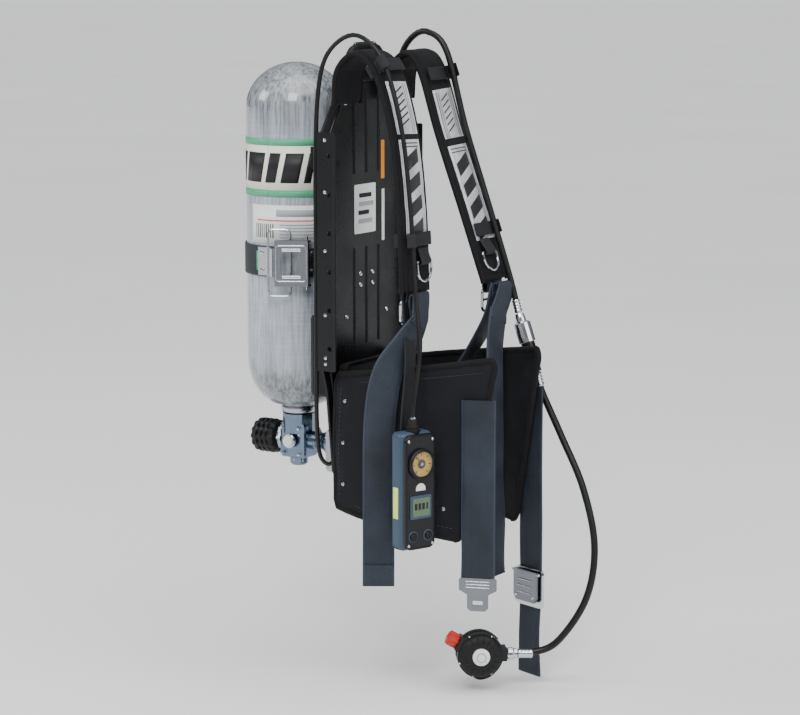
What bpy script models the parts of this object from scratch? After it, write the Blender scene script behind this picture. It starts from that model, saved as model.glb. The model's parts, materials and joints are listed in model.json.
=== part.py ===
"""Self-contained breathing apparatus: cylinder, carrier, harness, console and regulator.

Metres, +Z up. The origin is on the cylinder's axis, at the middle of its shell. -Y is the
wearer's side, where the harness is, +Y the outer side, +X the wearer's left.
"""
import math

import bmesh
import bpy
from mathutils import Vector
from mathutils.geometry import tessellate_polygon

# ---------------------------------------------------------------- driving dimensions
GAP = 0.0003                    # air left between neighbouring solids
CYLINDER_RADIUS = 0.0695
CYLINDER_HALF = 0.235           # half of the shell's length
DOME_HEIGHT = 0.062
SHOULDER_HEIGHT = 0.066
CYLINDER_WALL = 0.0065
LINER_WALL = 0.0025
NECK_RADIUS = 0.021
NECK_BORE = 0.0132
NECK_END = -0.247

PLATE_FRONT = -0.112            # wearer's face of the carrier plate
PLATE_BACK = -0.108
PLATE_HALF = 0.106
PLATE_TOP = 0.228
PLATE_BOTTOM = -0.315
RAIL_LOW = -0.165
RAIL_HIGH = 0.150
RAIL_FRONT = -0.132

BAND_HEIGHT = 0.042
BAND_MIDDLE = -0.030
BAND_THICKNESS = 0.0022
LATCH_ANGLE = math.radians(-150.0)
LATCH_HALF_GAP = math.radians(22.0)
PIN_RADIUS_OUT = 0.0800         # latch pin's distance from the cylinder's axis
PIN_SIDE = 0.018
BAIL_SIDE = -0.004
BAIL_REACH = 0.030
BAIL_HALF_HEIGHT = 0.045
BAIL_WIRE = 0.003
LEVER_HALF_HEIGHT = 0.031

VALVE_Z = -0.284
VALVE_SIZE = (0.036, 0.042, 0.050)

PAD_WIDTH = 0.066
PAD_THICKNESS = 0.014
WEBBING_WIDTH = 0.042
WEBBING_THICKNESS = 0.0025
BELT_WIDTH = 0.045

CONSOLE_PLACE = (-0.127, -0.264, -0.305)
CONSOLE_TURN = math.radians(-21.0)
CONSOLE_SIZE = (0.050, 0.026, 0.155)
DIAL_Z = 0.037
BUTTON_Z = -0.058
BUTTON_SIDE = 0.012
BUTTON_RADIUS = 0.0055

REGULATOR_PLACE = (-0.015, -0.300, -0.545)
REGULATOR_TURN = math.radians(-52.0)
REGULATOR_RADIUS = 0.031

SUPPLY_HOSE = 0.0085            # hose diameters
GAUGE_HOSE = 0.0060
REGULATOR_HOSE = 0.0095
ROUND_STEPS = 24                # sides of a large turned piece
SMALL_STEPS = 16

# Finishes: colour, roughness, metallic
FINISHES = {
    "wrap": ((0.42, 0.45, 0.47), 0.25, 0.0),
    "steel": ((0.62, 0.64, 0.67), 0.25, 1.0),
    "aluminium": ((0.55, 0.58, 0.62), 0.38, 1.0),
    "brass": ((0.70, 0.52, 0.25), 0.30, 1.0),
    "black_plastic": ((0.015, 0.015, 0.017), 0.45, 0.0),
    "slate_plastic": ((0.035, 0.055, 0.085), 0.40, 0.0),
    "rubber": ((0.012, 0.012, 0.013), 0.65, 0.0),
    "black_fabric": ((0.012, 0.012, 0.014), 0.85, 0.0),
    "navy_fabric": ((0.020, 0.028, 0.050), 0.80, 0.0),
    "white_plastic": ((0.80, 0.80, 0.78), 0.45, 0.0),
    "red_plastic": ((0.55, 0.03, 0.02), 0.35, 0.0),
    "lens": ((0.85, 0.88, 0.90), 0.05, 0.0),
}


# ---------------------------------------------------------------- tools
def clear_scene():
    """Remove what a new file holds."""
    for found in list(bpy.data.objects):
        bpy.data.objects.remove(found, do_unlink=True)


def finish_material(name, kind):
    """Principled material of the given kind for one piece."""
    colour, roughness, metallic = FINISHES[kind]
    made = bpy.data.materials.new(name + "_" + kind)
    made.use_nodes = True
    shader = made.node_tree.nodes["Principled BSDF"]
    shader.inputs["Base Color"].default_value = (*colour, 1.0)
    shader.inputs["Roughness"].default_value = roughness
    shader.inputs["Metallic"].default_value = metallic
    return made


def add_object(name, data, kind, place=(0.0, 0.0, 0.0), turn=(0.0, 0.0, 0.0), parent=None):
    """Put a mesh or curve in the scene as a named piece."""
    made = bpy.data.objects.new(name, data)
    bpy.context.scene.collection.objects.link(made)
    made.location = place
    made.rotation_euler = turn
    made.parent = parent
    made.data.materials.append(finish_material(name, kind))
    return made


def add_frame(name, place, turn=(0.0, 0.0, 0.0), parent=None):
    """Empty that carries a group of pieces."""
    made = bpy.data.objects.new(name, None)
    bpy.context.scene.collection.objects.link(made)
    made.location = place
    made.rotation_euler = turn
    made.parent = parent
    return made


def join_shape(target, tool, operation):
    """Cut the tool out of the target, or join it on. The tool is only a guide."""
    tool.hide_render = True
    tool.display_type = "WIRE"
    step = target.modifiers.new(operation.lower() + "_" + tool.name, "BOOLEAN")
    step.operation = operation
    step.solver = "EXACT"
    step.object = tool


def mesh_of(bm, name="shape"):
    """Mesh with outward faces, smooth but for its sharp edges."""
    bmesh.ops.recalc_face_normals(bm, faces=bm.faces)
    made = bpy.data.meshes.new(name)
    bm.to_mesh(made)
    bm.free()
    made.shade_smooth()
    made.set_sharp_from_angle(angle=math.radians(35.0))
    return made


def turned(profile, steps=SMALL_STEPS, closed=False, along="Z"):
    """Profile of (radius, height) points turned about an axis. Height runs along the axis."""
    bm = bmesh.new()
    rings = []
    for radius, height in profile:
        count = steps if radius > 1e-6 else 1
        ring = []
        for step in range(count):
            angle = 2.0 * math.pi * step / steps
            across = radius * math.cos(angle)
            deep = radius * math.sin(angle)
            spot = {"X": (height, across, deep), "Y": (across, height, deep), "Z": (across, deep, height)}
            ring.append(bm.verts.new(spot[along]))
        rings.append(ring)
    pairs = list(zip(rings, rings[1:]))
    if closed:
        pairs.append((rings[-1], rings[0]))
    for low, high in pairs:
        for step in range(steps):
            after = step + 1
            corners = [low[step % len(low)], low[after % len(low)]]
            corners += [high[after % len(high)], high[step % len(high)]]
            bm.faces.new(list(dict.fromkeys(corners)))
    if not closed:
        for ring in (rings[0], rings[-1]):
            if len(ring) > 1:
                bm.faces.new(ring)
    return mesh_of(bm)


def prism(outline, low, high, holes=(), along="Z"):
    """Outline of points pushed along an axis, with any holes right through.

    The outline's plane is XY for along Z, XZ for along Y and YZ for along X.
    """
    loops = [list(outline)]
    for hole in holes:
        loops.append(list(hole))
    flat = []
    for loop in loops:
        flat.append([Vector((first, second, 0.0)) for first, second in loop])
    triangles = tessellate_polygon(flat)
    bm = bmesh.new()
    layers = []
    for level in (low, high):
        layer = []
        for loop in loops:
            for first, second in loop:
                spot = {"X": (level, first, second), "Y": (first, level, second), "Z": (first, second, level)}
                layer.append(bm.verts.new(spot[along]))
        layers.append(layer)
    bottom, top = layers
    for one, two, three in triangles:
        bm.faces.new((bottom[one], bottom[two], bottom[three]))
        bm.faces.new((top[three], top[two], top[one]))
    start = 0
    for loop in loops:
        for index in range(len(loop)):
            here = start + index
            after = start + (index + 1) % len(loop)
            bm.faces.new((bottom[here], bottom[after], top[after], top[here]))
        start += len(loop)
    return mesh_of(bm)


def rounded_box(size, radius, steps=2, middle=(0.0, 0.0, 0.0)):
    """Box with rounded edges."""
    bm = bmesh.new()
    bmesh.ops.create_cube(bm, size=1.0)
    bmesh.ops.scale(bm, vec=size, verts=bm.verts)
    bmesh.ops.translate(bm, vec=middle, verts=bm.verts)
    bmesh.ops.bevel(bm, geom=list(bm.edges), offset=radius, segments=steps, affect="EDGES", profile=0.5)
    return mesh_of(bm)


def arc(radius, start, end, count, middle=(0.0, 0.0)):
    """Points on an arc, both ends included. Angles in degrees."""
    points = []
    for step in range(count + 1):
        angle = math.radians(start + (end - start) * step / count)
        points.append((middle[0] + radius * math.cos(angle), middle[1] + radius * math.sin(angle)))
    return points


def circle(radius, count=12, middle=(0.0, 0.0)):
    """Points round a circle."""
    return arc(radius, 0.0, 360.0, count, middle)[:-1]


def rounded_outline(width, height, radius, count=3):
    """Rectangle with round corners about the origin."""
    points = []
    for sign_x, sign_y, start in ((1, 1, 0.0), (-1, 1, 90.0), (-1, -1, 180.0), (1, -1, 270.0)):
        corner = (sign_x * (width / 2.0 - radius), sign_y * (height / 2.0 - radius))
        points += arc(radius, start, start + 90.0, count, corner)
    return points


def smooth_path(points, count):
    """Evenly spaced points on the smooth curve through the given ones."""
    knots = [Vector(point) for point in points]
    knots.insert(0, 2.0 * knots[0] - knots[1])
    knots.append(2.0 * knots[-1] - knots[-2])
    fine = []
    parts = 24
    for index in range(1, len(knots) - 2):
        before, here, there, beyond = knots[index - 1:index + 3]
        for part in range(parts):
            t = part / parts
            bend = 2.0 * before - 5.0 * here + 4.0 * there - beyond
            twist = 3.0 * here - before - 3.0 * there + beyond
            fine.append(0.5 * (2.0 * here + (there - before) * t + bend * t * t + twist * t ** 3))
    fine.append(knots[-2])
    travelled = [0.0]
    for one, two in zip(fine, fine[1:]):
        travelled.append(travelled[-1] + (two - one).length)
    spaced = []
    index = 0
    for step in range(count):
        wanted = travelled[-1] * step / (count - 1)
        while index < len(fine) - 2 and travelled[index + 1] < wanted:
            index += 1
        span = travelled[index + 1] - travelled[index]
        spaced.append(fine[index].lerp(fine[index + 1], (wanted - travelled[index]) / span))
    return spaced


def path_length(points):
    """Length of the smooth curve through the points."""
    fine = smooth_path(points, 200)
    return sum((two - one).length for one, two in zip(fine, fine[1:]))


def tube(name, points, diameter, kind, cyclic=False, resolution=2, parent=None):
    """Round tube or wire on a poly line, with closed ends."""
    data = bpy.data.curves.new(name, "CURVE")
    data.dimensions = "3D"
    data.bevel_depth = diameter / 2.0
    data.bevel_resolution = resolution
    data.use_fill_caps = True
    line = data.splines.new("POLY")
    line.points.add(len(points) - 1)
    for slot, point in zip(line.points, points):
        slot.co = (*point, 1.0)
    line.use_cyclic_u = cyclic
    return add_object(name, data, kind, parent=parent)


def hose(name, points, diameter, kind="rubber"):
    """Flexible hose along the smooth curve through the points."""
    count = min(80, max(8, round(path_length(points) / (2.6 * diameter))))
    return tube(name, smooth_path(points, count), diameter, kind)


def sweep(centres, sides, widths, thicknesses, corners=4):
    """Slab with round edges along the centres. Each side vector points across its width."""
    bm = bmesh.new()
    rings = []
    for index, centre in enumerate(centres):
        before = centres[max(index - 1, 0)]
        after = centres[min(index + 1, len(centres) - 1)]
        along = (after - before).normalized()
        side = Vector(sides[index])
        side = (side - along * side.dot(along)).normalized()
        out = along.cross(side)
        half = widths[index] / 2.0
        deep = thicknesses[index] / 2.0
        ring = []
        for across, turn in ((1, -90.0), (-1, 90.0)):
            for step in range(corners):
                angle = math.radians(turn + 180.0 * step / (corners - 1))
                sideways = across * (half - deep) + deep * math.cos(angle)
                ring.append(bm.verts.new(centre + side * sideways + out * deep * math.sin(angle)))
        rings.append(ring)
    for low, high in zip(rings, rings[1:]):
        for step in range(len(low)):
            after = (step + 1) % len(low)
            bm.faces.new((low[step], low[after], high[after], high[step]))
    bm.faces.new(rings[0])
    bm.faces.new(rings[-1])
    bmesh.ops.triangulate(bm, faces=bm.faces)
    return mesh_of(bm)


def webbing(name, points, sides, width, thickness, kind, count=14, parent=None):
    """Strap along the smooth curve through the points, its side vectors spread evenly along it."""
    centres = smooth_path(points, count)
    spread = []
    for step in range(count):
        place = step / (count - 1) * (len(sides) - 1)
        index = min(int(place), max(len(sides) - 2, 0))
        after = min(index + 1, len(sides) - 1)
        spread.append(Vector(sides[index]).lerp(Vector(sides[after]), place - index))
    mesh = sweep(centres, spread, [width] * count, [thickness] * count)
    return add_object(name, mesh, kind, parent=parent)


# ---------------------------------------------------------------- cylinder and valve
def shell_profile(inset):
    """Outer side of the cylinder, bottom to top, drawn in by the inset."""
    radius = CYLINDER_RADIUS - inset
    neck = NECK_RADIUS - inset
    top = CYLINDER_HALF - inset
    straight_low = -CYLINDER_HALF + SHOULDER_HEIGHT
    straight_high = CYLINDER_HALF - DOME_HEIGHT
    points = []
    for step in range(7):
        angle = math.radians(90.0 * step / 6)
        across = neck + (radius - neck) * math.sin(angle)
        points.append((across, straight_low - (SHOULDER_HEIGHT - inset) * math.cos(angle)))
    for step in range(8):
        angle = math.radians(90.0 * step / 7)
        points.append((radius * math.cos(angle), straight_high + (top - straight_high) * math.sin(angle)))
    points[-1] = (0.0, top)
    return points


def build_cylinder():
    """Wrapped shell over a metal liner, both open at the neck."""
    outer = shell_profile(0.0)
    inner = shell_profile(CYLINDER_WALL)
    shell = [(0.0, outer[-1][1])] + outer[-2::-1] + inner[:-1] + [(0.0, inner[-1][1])]
    add_object("cylinder_shell", turned(shell, ROUND_STEPS), "wrap")
    outer = shell_profile(CYLINDER_WALL + GAP)
    inner = shell_profile(CYLINDER_WALL + GAP + LINER_WALL)
    boss_top = outer[0][1] + 0.012
    neck = [(outer[0][0], NECK_END), (NECK_BORE, NECK_END), (NECK_BORE, boss_top)]
    liner = [(0.0, outer[-1][1])] + outer[-2::-1] + neck + inner[1:-1] + [(0.0, inner[-1][1])]
    add_object("cylinder_liner", turned(liner, ROUND_STEPS), "aluminium")


def build_valve():
    """Valve body in the neck, with its handwheel, gauge and coupling nut."""
    frame = add_frame("valve_frame", (0.0, 0.0, VALVE_Z))
    body = add_object("valve_body", rounded_box(VALVE_SIZE, 0.005), "steel", parent=frame)
    top = NECK_END - VALVE_Z - GAP
    stem = [(0.0, 0.010), (0.0225, 0.010), (0.0225, top), (NECK_BORE - GAP, top)]
    stem += [(NECK_BORE - GAP, top + 0.022), (0.0, top + 0.022)]
    drain = [(0.0, -0.036), (0.0100, -0.036), (0.0125, -0.0335), (0.0125, -0.015), (0.0, -0.015)]
    spindle = [(0.0, 0.010), (0.0135, 0.010), (0.0135, 0.030), (0.0, 0.030)]
    outlet = [(0.0, -0.031), (0.0125, -0.031), (0.0125, -0.010), (0.0, -0.010)]
    for tool_name, profile, along in (("stem", stem, "Z"), ("drain", drain, "Z"),
                                      ("spindle", spindle, "Y"), ("outlet", outlet, "Y")):
        tool = add_object("valve_" + tool_name + "_guide", turned(profile, along=along), "steel", parent=frame)
        join_shape(body, tool, "UNION")

    lobes = []
    for step in range(48):
        angle = 2.0 * math.pi * step / 48
        radius = 0.0225 + 0.0012 * math.cos(12.0 * angle)
        lobes.append((radius * math.cos(angle), radius * math.sin(angle)))
    add_object("valve_handwheel", prism(lobes, 0.0305, 0.0680, along="Y"), "rubber", parent=frame)

    case = [(0.0, 0.0183), (0.0090, 0.0183), (0.0090, 0.0240), (0.0160, 0.0255), (0.0160, 0.0350),
            (0.0140, 0.0350), (0.0140, 0.0280), (0.0, 0.0280)]
    add_object("cylinder_gauge_case", turned(case, along="X"), "brass", parent=frame)
    needle = add_frame("gauge_needle_axis", (0.0288, 0.0, 0.0), parent=frame)
    pointer = [(-0.0030, -0.0010), (0.0110, -0.0003), (0.0110, 0.0003), (-0.0030, 0.0010)]
    add_object("cylinder_gauge_needle", prism(pointer, 0.0, 0.0010, along="X"), "red_plastic", parent=needle)

    nut = [(0.0, -0.0625), (0.0205, -0.0625), (0.0220, -0.0610), (0.0220, -0.0560), (0.0150, -0.0480),
           (0.0118, -0.0400), (0.0118, -0.0345), (0.0130, -0.0335), (0.0130, -0.0313), (0.0, -0.0313)]
    add_object("coupling_nut", turned(nut, along="Y"), "steel", parent=frame)


# ---------------------------------------------------------------- cylinder band and its latch
def ring_part(inner, outer, start, end, count):
    """Outline of a part of a ring, angles in degrees."""
    return arc(outer, start, end, count) + arc(inner, end, start, count)


def build_band():
    """Band round the cylinder, drawn tight by an over-centre lever and a wire bail."""
    frame = add_frame("latch_frame", (0.0, 0.0, BAND_MIDDLE), (0.0, 0.0, LATCH_ANGLE))
    inner = CYLINDER_RADIUS + GAP
    outer = inner + BAND_THICKNESS
    half = BAND_HEIGHT / 2.0
    gap = math.degrees(LATCH_HALF_GAP)
    band = prism(ring_part(inner, outer, gap, 360.0 - gap, 44), -half, half)
    add_object("cylinder_band", band, "black_fabric", parent=frame)

    # base riveted on one end, with a nose that carries the pin
    low = outer + GAP
    high = low + 0.0018
    nose = arc(0.0045, 80.0, -100.0, 6, (PIN_RADIUS_OUT, PIN_SIDE))
    base = arc(high, 30.0, 17.0, 4)[:-1] + nose + arc(low, 12.0, 30.0, 5)
    pin_hole = circle(0.0020 + GAP, 12, (PIN_RADIUS_OUT, PIN_SIDE))
    add_object("latch_base", prism(base, -half + 0.002, half - 0.002, [pin_hole]), "steel", parent=frame)
    pin = turned([(0.0, -0.036), (0.0020, -0.036), (0.0020, 0.036), (0.0, 0.036)], 12)
    add_object("latch_pin", pin, "steel", (PIN_RADIUS_OUT, PIN_SIDE, 0.0), parent=frame)

    # catch on the other end: a tooth that stands in front of the bail's far wire
    far = BAIL_SIDE - BAIL_REACH
    tooth_side = far + BAIL_WIRE / 2.0 + 0.0008
    tooth_top = PIN_RADIUS_OUT + 0.003
    foot = math.sqrt(high ** 2 - tooth_side ** 2)
    catch = arc(high, -42.0, -29.0, 4) + [(foot, tooth_side), (tooth_top, tooth_side)]
    catch += [(tooth_top, tooth_side + 0.0030)] + arc(high, -21.0, -20.0, 1) + arc(low, -20.0, -42.0, 6)
    add_object("band_catch", prism(catch, -half + 0.002, half - 0.002), "steel", parent=frame)

    # lever: a channel that straddles the base, turning on the pin
    hinge = add_frame("lever_axis", (PIN_RADIUS_OUT, PIN_SIDE, 0.0), parent=frame)
    flange = [(-0.0045, 0.0050), (-0.0045, -0.0260), (0.0030, -0.0410), (0.0080, -0.0430),
              (0.0080, 0.0020), (0.0040, 0.0060)]
    lever = add_object("band_lever", prism(flange, -LEVER_HALF_HEIGHT, LEVER_HALF_HEIGHT), "steel", parent=hinge)
    inside = LEVER_HALF_HEIGHT - 0.0022
    hollow = rounded_box((0.040, 0.120, 2.0 * inside), 0.0005, 1, (0.0060 - 0.020, 0.0, 0.0))
    join_shape(lever, add_object("lever_hollow_guide", hollow, "steel", parent=hinge), "DIFFERENCE")
    window = rounded_box((0.020, 0.022, 0.030), 0.003, 1, (0.010, -0.024, 0.0))
    join_shape(lever, add_object("lever_window_guide", window, "steel", parent=hinge), "DIFFERENCE")
    pin_bore = turned([(0.0, -0.05), (0.0023, -0.05), (0.0023, 0.05), (0.0, 0.05)], 12)
    join_shape(lever, add_object("lever_pin_guide", pin_bore, "steel", parent=hinge), "DIFFERENCE")
    bail_place = (0.0, BAIL_SIDE - PIN_SIDE, 0.0)
    bail_bore = turned([(0.0, -0.05), (0.0021, -0.05), (0.0021, 0.05), (0.0, 0.05)], 12)
    join_shape(lever, add_object("lever_bail_guide", bail_bore, "steel", bail_place, parent=hinge), "DIFFERENCE")

    swing = add_frame("bail_axis", bail_place, parent=hinge)
    corner = 0.006
    loop = []
    for side, height, start in ((0.0, 1.0, 0.0), (-BAIL_REACH, 1.0, 90.0),
                                (-BAIL_REACH, -1.0, 180.0), (0.0, -1.0, 270.0)):
        inward = -corner if side == 0.0 else corner
        middle = (side + inward, height * (BAIL_HALF_HEIGHT - corner))
        for across, up in arc(corner, start, start + 90.0, 3, middle):
            loop.append((0.0, across, up))
    tube("band_bail", loop, BAIL_WIRE, "steel", cyclic=True, parent=swing)


# ---------------------------------------------------------------- carrier
def build_carrier():
    """Carrier plate with its side rails, saddles and handle."""
    low_half = 0.074
    top_half = 0.050
    right_side = [(low_half, PLATE_BOTTOM), (low_half + 0.008, PLATE_BOTTOM + 0.010),
                  (PLATE_HALF - 0.010, -0.195), (PLATE_HALF, RAIL_LOW), (PLATE_HALF, RAIL_HIGH),
                  (top_half, PLATE_TOP)]
    outline = right_side + [(-across, height) for across, height in reversed(right_side)]
    plate = prism(outline, PLATE_FRONT, PLATE_BACK, along="Y")
    add_object("carrier_plate", plate, "black_plastic")

    for name, side in (("side_rail_right", -1.0), ("side_rail_left", 1.0)):
        face = PLATE_HALF + GAP
        web = 0.0030
        lip = 0.0120
        back = PLATE_BACK + GAP + web
        section = [(face + web, RAIL_FRONT), (face + web, back), (face - lip, back), (face - lip, back - web),
                   (face, back - web), (face, RAIL_FRONT)]
        section = [(side * across, deep) for across, deep in section]
        rail = add_object(name, prism(section, RAIL_LOW, RAIL_HIGH), "black_plastic")
        count = 6
        for index in range(count):
            height = RAIL_LOW + 0.030 + index * (RAIL_HIGH - RAIL_LOW - 0.060) / (count - 1)
            hole = turned([(0.0, -0.010), (0.0035, -0.010), (0.0035, 0.010), (0.0, 0.010)], 10, along="X")
            place = (side * (face + web / 2.0), RAIL_FRONT + 0.008, height)
            join_shape(rail, add_object(name + "_hole_" + str(index), hole, "steel", place), "DIFFERENCE")

    reach = CYLINDER_RADIUS + GAP
    half = 0.046
    for name, height in (("upper_saddle", 0.110), ("lower_saddle", -0.125)):
        angle = math.degrees(math.asin(half / reach))
        cradle = arc(reach, -90.0 - angle, -90.0 + angle, 14)
        cradle += [(half, PLATE_BACK + GAP), (-half, PLATE_BACK + GAP)]
        add_object(name, prism(cradle, height - 0.015, height + 0.015), "black_plastic")
    anchor_half = 0.030
    reach = CYLINDER_RADIUS + BAND_THICKNESS + 2.0 * GAP
    angle = math.degrees(math.asin(anchor_half / reach))
    anchor = arc(reach, -90.0 - angle, -90.0 + angle, 10)
    anchor += [(anchor_half, PLATE_BACK + GAP), (-anchor_half, PLATE_BACK + GAP)]
    add_object("band_anchor", prism(anchor, BAND_MIDDLE - 0.018, BAND_MIDDLE + 0.018), "black_plastic")

    span = 0.040
    thick = 0.010
    foot = PLATE_TOP + 2.0 * GAP
    middle = (PLATE_FRONT + PLATE_BACK) / 2.0
    grip = [(-span, middle, foot), (-span, middle, foot + 0.006), (-span, middle, foot + 0.014)]
    grip += [(-span + 0.010, middle, foot + 0.026), (0.0, middle, foot + 0.030)]
    grip += [(-across, deep, height) for across, deep, height in reversed(grip[:4])]
    tube("carry_handle", smooth_path(grip, 18), thick, "rubber", resolution=3)


def build_reducer():
    """Pressure reducer on the carrier, with what is screwed to it."""
    size = (0.076, 0.0437, 0.058)
    middle = (0.005, PLATE_BACK + GAP + size[1] / 2.0, VALVE_Z - 0.006)
    add_object("reducer_body", rounded_box(size, 0.005, middle=middle), "aluminium")
    bottom = middle[2] - size[2] / 2.0 - GAP
    cap = [(0.0, -0.016), (0.0130, -0.016), (0.0150, -0.014), (0.0150, -0.004), (0.0115, -0.002),
           (0.0115, 0.0), (0.0, 0.0)]
    add_object("reducer_cap", turned(cap), "steel", (-0.012, middle[1], bottom))

    depth = 0.030
    back = PLATE_BACK + GAP
    size = (0.026, depth, 0.085)
    place = (0.074, back + depth / 2.0, -0.060)
    add_object("alarm_housing", rounded_box(size, 0.004), "black_plastic", place)
    size = (0.028, depth, 0.110)
    place = (-0.072, back + depth / 2.0, -0.150)
    add_object("power_module", rounded_box(size, 0.004), "black_plastic", place)


# ---------------------------------------------------------------- hoses
# Points that each route passes through, in order from the reducer
GAUGE_ROUTE = [
    (-0.0355, -0.0860, -0.300), (-0.0600, -0.0870, -0.301), (-0.0880, -0.0930, -0.280), (-0.1000, -0.0970, -0.230),
    (-0.1000, -0.0970, -0.150), (-0.1000, -0.0970, 0.000), (-0.1000, -0.0970, 0.110), (-0.0980, -0.0990, 0.190),
    (-0.0950, -0.1070, 0.240), (-0.0930, -0.1280, 0.267), (-0.0920, -0.1560, 0.276), (-0.0930, -0.1860, 0.259),
    (-0.0940, -0.2070, 0.225), (-0.0960, -0.2290, 0.150), (-0.0985, -0.2430, 0.050), (-0.1010, -0.2510, -0.045),
    (-0.1120, -0.2650, -0.125), (-0.1255, -0.2645, -0.195), (-0.1270, -0.2640, -0.2270),
]
SUPPLY_ROUTE = [
    (0.0455, -0.0860, -0.306), (0.0680, -0.0870, -0.306), (0.0910, -0.0920, -0.283), (0.1000, -0.0960, -0.230),
    (0.1000, -0.0960, -0.150), (0.1000, -0.0960, 0.000), (0.1000, -0.0960, 0.110), (0.0980, -0.0985, 0.190),
    (0.0960, -0.1065, 0.240), (0.0930, -0.1270, 0.268), (0.0890, -0.1540, 0.275), (0.0880, -0.1840, 0.250),
    (0.0900, -0.2125, 0.150), (0.0930, -0.2480, 0.045), (0.0950, -0.2800, -0.050), (0.0950, -0.2940, -0.098),
]
REGULATOR_ROUTE = [
    (0.0950, -0.3220, -0.176), (0.0945, -0.3315, -0.203), (0.0920, -0.3620, -0.258), (0.0850, -0.4000, -0.325),
    (0.0760, -0.4230, -0.400), (0.0630, -0.4180, -0.470), (0.0450, -0.3850, -0.529), (0.0286, -0.3558, -0.5445),
    (0.0163, -0.3401, -0.5450),
]


def build_hoses():
    """Hoses from the reducer to the console, to the coupling and on to the regulator."""
    hose("gauge_hose", GAUGE_ROUTE, GAUGE_HOSE)
    hose("supply_hose", SUPPLY_ROUTE, SUPPLY_HOSE)
    hose("regulator_hose", REGULATOR_ROUTE, REGULATOR_HOSE)

    start = Vector(SUPPLY_ROUTE[-1])
    end = Vector(REGULATOR_ROUTE[0])
    axis = (end - start).normalized()
    turn = axis.to_track_quat("Z", "Y").to_euler()
    length = (end - start).length
    half = length / 2.0
    near = 4.0 * GAP
    socket = [(0.0, near), (0.0060, near), (0.0070, 0.006), (0.0070, 0.012), (0.0115, 0.015),
              (0.0115, half - GAP), (0.0, half - GAP)]
    add_object("hose_socket", turned(socket), "steel", start, turn)
    plug = [(0.0, half), (0.0095, half), (0.0095, half + 0.010), (0.0075, half + 0.014),
            (0.0075, length - GAP), (0.0, length - GAP)]
    add_object("hose_plug", turned(plug), "black_plastic", start, turn)


# ---------------------------------------------------------------- harness
ACROSS = (1.0, 0.0, 0.0)
TAIL_ACROSS = (0.53, -0.85, 0.0)
PAD_ROUTES = {
    "right": [(-0.066, -0.1240, 0.185), (-0.066, -0.1290, 0.230), (-0.066, -0.1560, 0.252),
              (-0.067, -0.1880, 0.228), (-0.071, -0.2150, 0.150), (-0.075, -0.2300, 0.050),
              (-0.078, -0.2360, -0.055)],
    "left": [(0.066, -0.1240, 0.185), (0.066, -0.1290, 0.228), (0.067, -0.1500, 0.248),
             (0.069, -0.1720, 0.225), (0.073, -0.1980, 0.140), (0.077, -0.2330, 0.040),
             (0.080, -0.2660, -0.055)],
}
LOWER_STRAPS = {
    "right": [(-0.076, -0.2400, -0.061), (-0.072, -0.2380, -0.100), (-0.066, -0.2100, -0.170),
              (-0.063, -0.1750, -0.220), (-0.062, -0.1440, -0.262)],
    "left": [(0.078, -0.2730, -0.061), (0.064, -0.2680, -0.105), (0.052, -0.2330, -0.165),
             (0.050, -0.1850, -0.225), (0.055, -0.1450, -0.262)],
}
TAILS = {
    "right": [(-0.082, -0.2465, -0.092), (-0.104, -0.2360, -0.122), (-0.121, -0.2220, -0.158),
              (-0.128, -0.2140, -0.220), (-0.131, -0.2140, -0.330), (-0.133, -0.2150, -0.435)],
    "left": [(0.060, -0.2840, -0.092), (0.040, -0.2900, -0.140), (0.034, -0.2950, -0.200),
             (0.033, -0.2980, -0.320), (0.036, -0.2980, -0.445)],
}
WING_ROUTE = [(0.0910, -0.1200, 0.0), (0.0985, -0.1540, 0.0), (0.0990, -0.2000, 0.0),
              (0.0890, -0.2560, 0.0), (0.0720, -0.3080, 0.0), (0.0560, -0.3500, 0.0)]
WING_THICKNESS = 0.010
WING_COLUMNS = 9
WING_ROWS = 4


def slab(name, rows, thickness, kind):
    """Closed pad about a grid of points, all rows of equal length."""
    bm = bmesh.new()
    faces = []
    for side in (0.5, -0.5):
        grid = []
        for row_index, row in enumerate(rows):
            line = []
            for index, point in enumerate(row):
                along = row[min(index + 1, len(row) - 1)] - row[max(index - 1, 0)]
                below = rows[max(row_index - 1, 0)][index]
                above = rows[min(row_index + 1, len(rows) - 1)][index]
                out = along.cross(above - below).normalized()
                line.append(bm.verts.new(point + out * side * thickness))
            grid.append(line)
        faces.append(grid)
    front, back = faces
    high = len(rows) - 1
    wide = len(rows[0]) - 1
    for row in range(high):
        for index in range(wide):
            for grid in faces:
                corners = (grid[row][index], grid[row][index + 1], grid[row + 1][index + 1], grid[row + 1][index])
                bm.faces.new(corners)
    rim = [(0, index) for index in range(wide)] + [(row, wide) for row in range(high)]
    rim += [(high, index) for index in range(wide, 0, -1)] + [(row, 0) for row in range(high, 0, -1)]
    for (row, index), (next_row, next_index) in zip(rim, rim[1:] + rim[:1]):
        corners = (front[row][index], front[next_row][next_index], back[next_row][next_index], back[row][index])
        bm.faces.new(corners)
    bmesh.ops.triangulate(bm, faces=bm.faces)
    return add_object(name, mesh_of(bm), kind)


def wing_rows(side):
    """Grid over a waist wing. Its outer edge slants, so that its top reaches further forward."""
    fine = smooth_path(WING_ROUTE, 101)
    rows = []
    for row in range(WING_ROWS):
        up = row / (WING_ROWS - 1)
        line = []
        for column in range(WING_COLUMNS):
            along = column / (WING_COLUMNS - 1) * (0.80 + 0.20 * up)
            spot = fine[round(100 * along)]
            low = -0.350 - 0.030 * along
            high = -0.170 + 0.035 * along
            line.append(Vector((side * spot.x, spot.y, low + (high - low) * up)))
        rows.append(line)
    return rows


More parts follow.
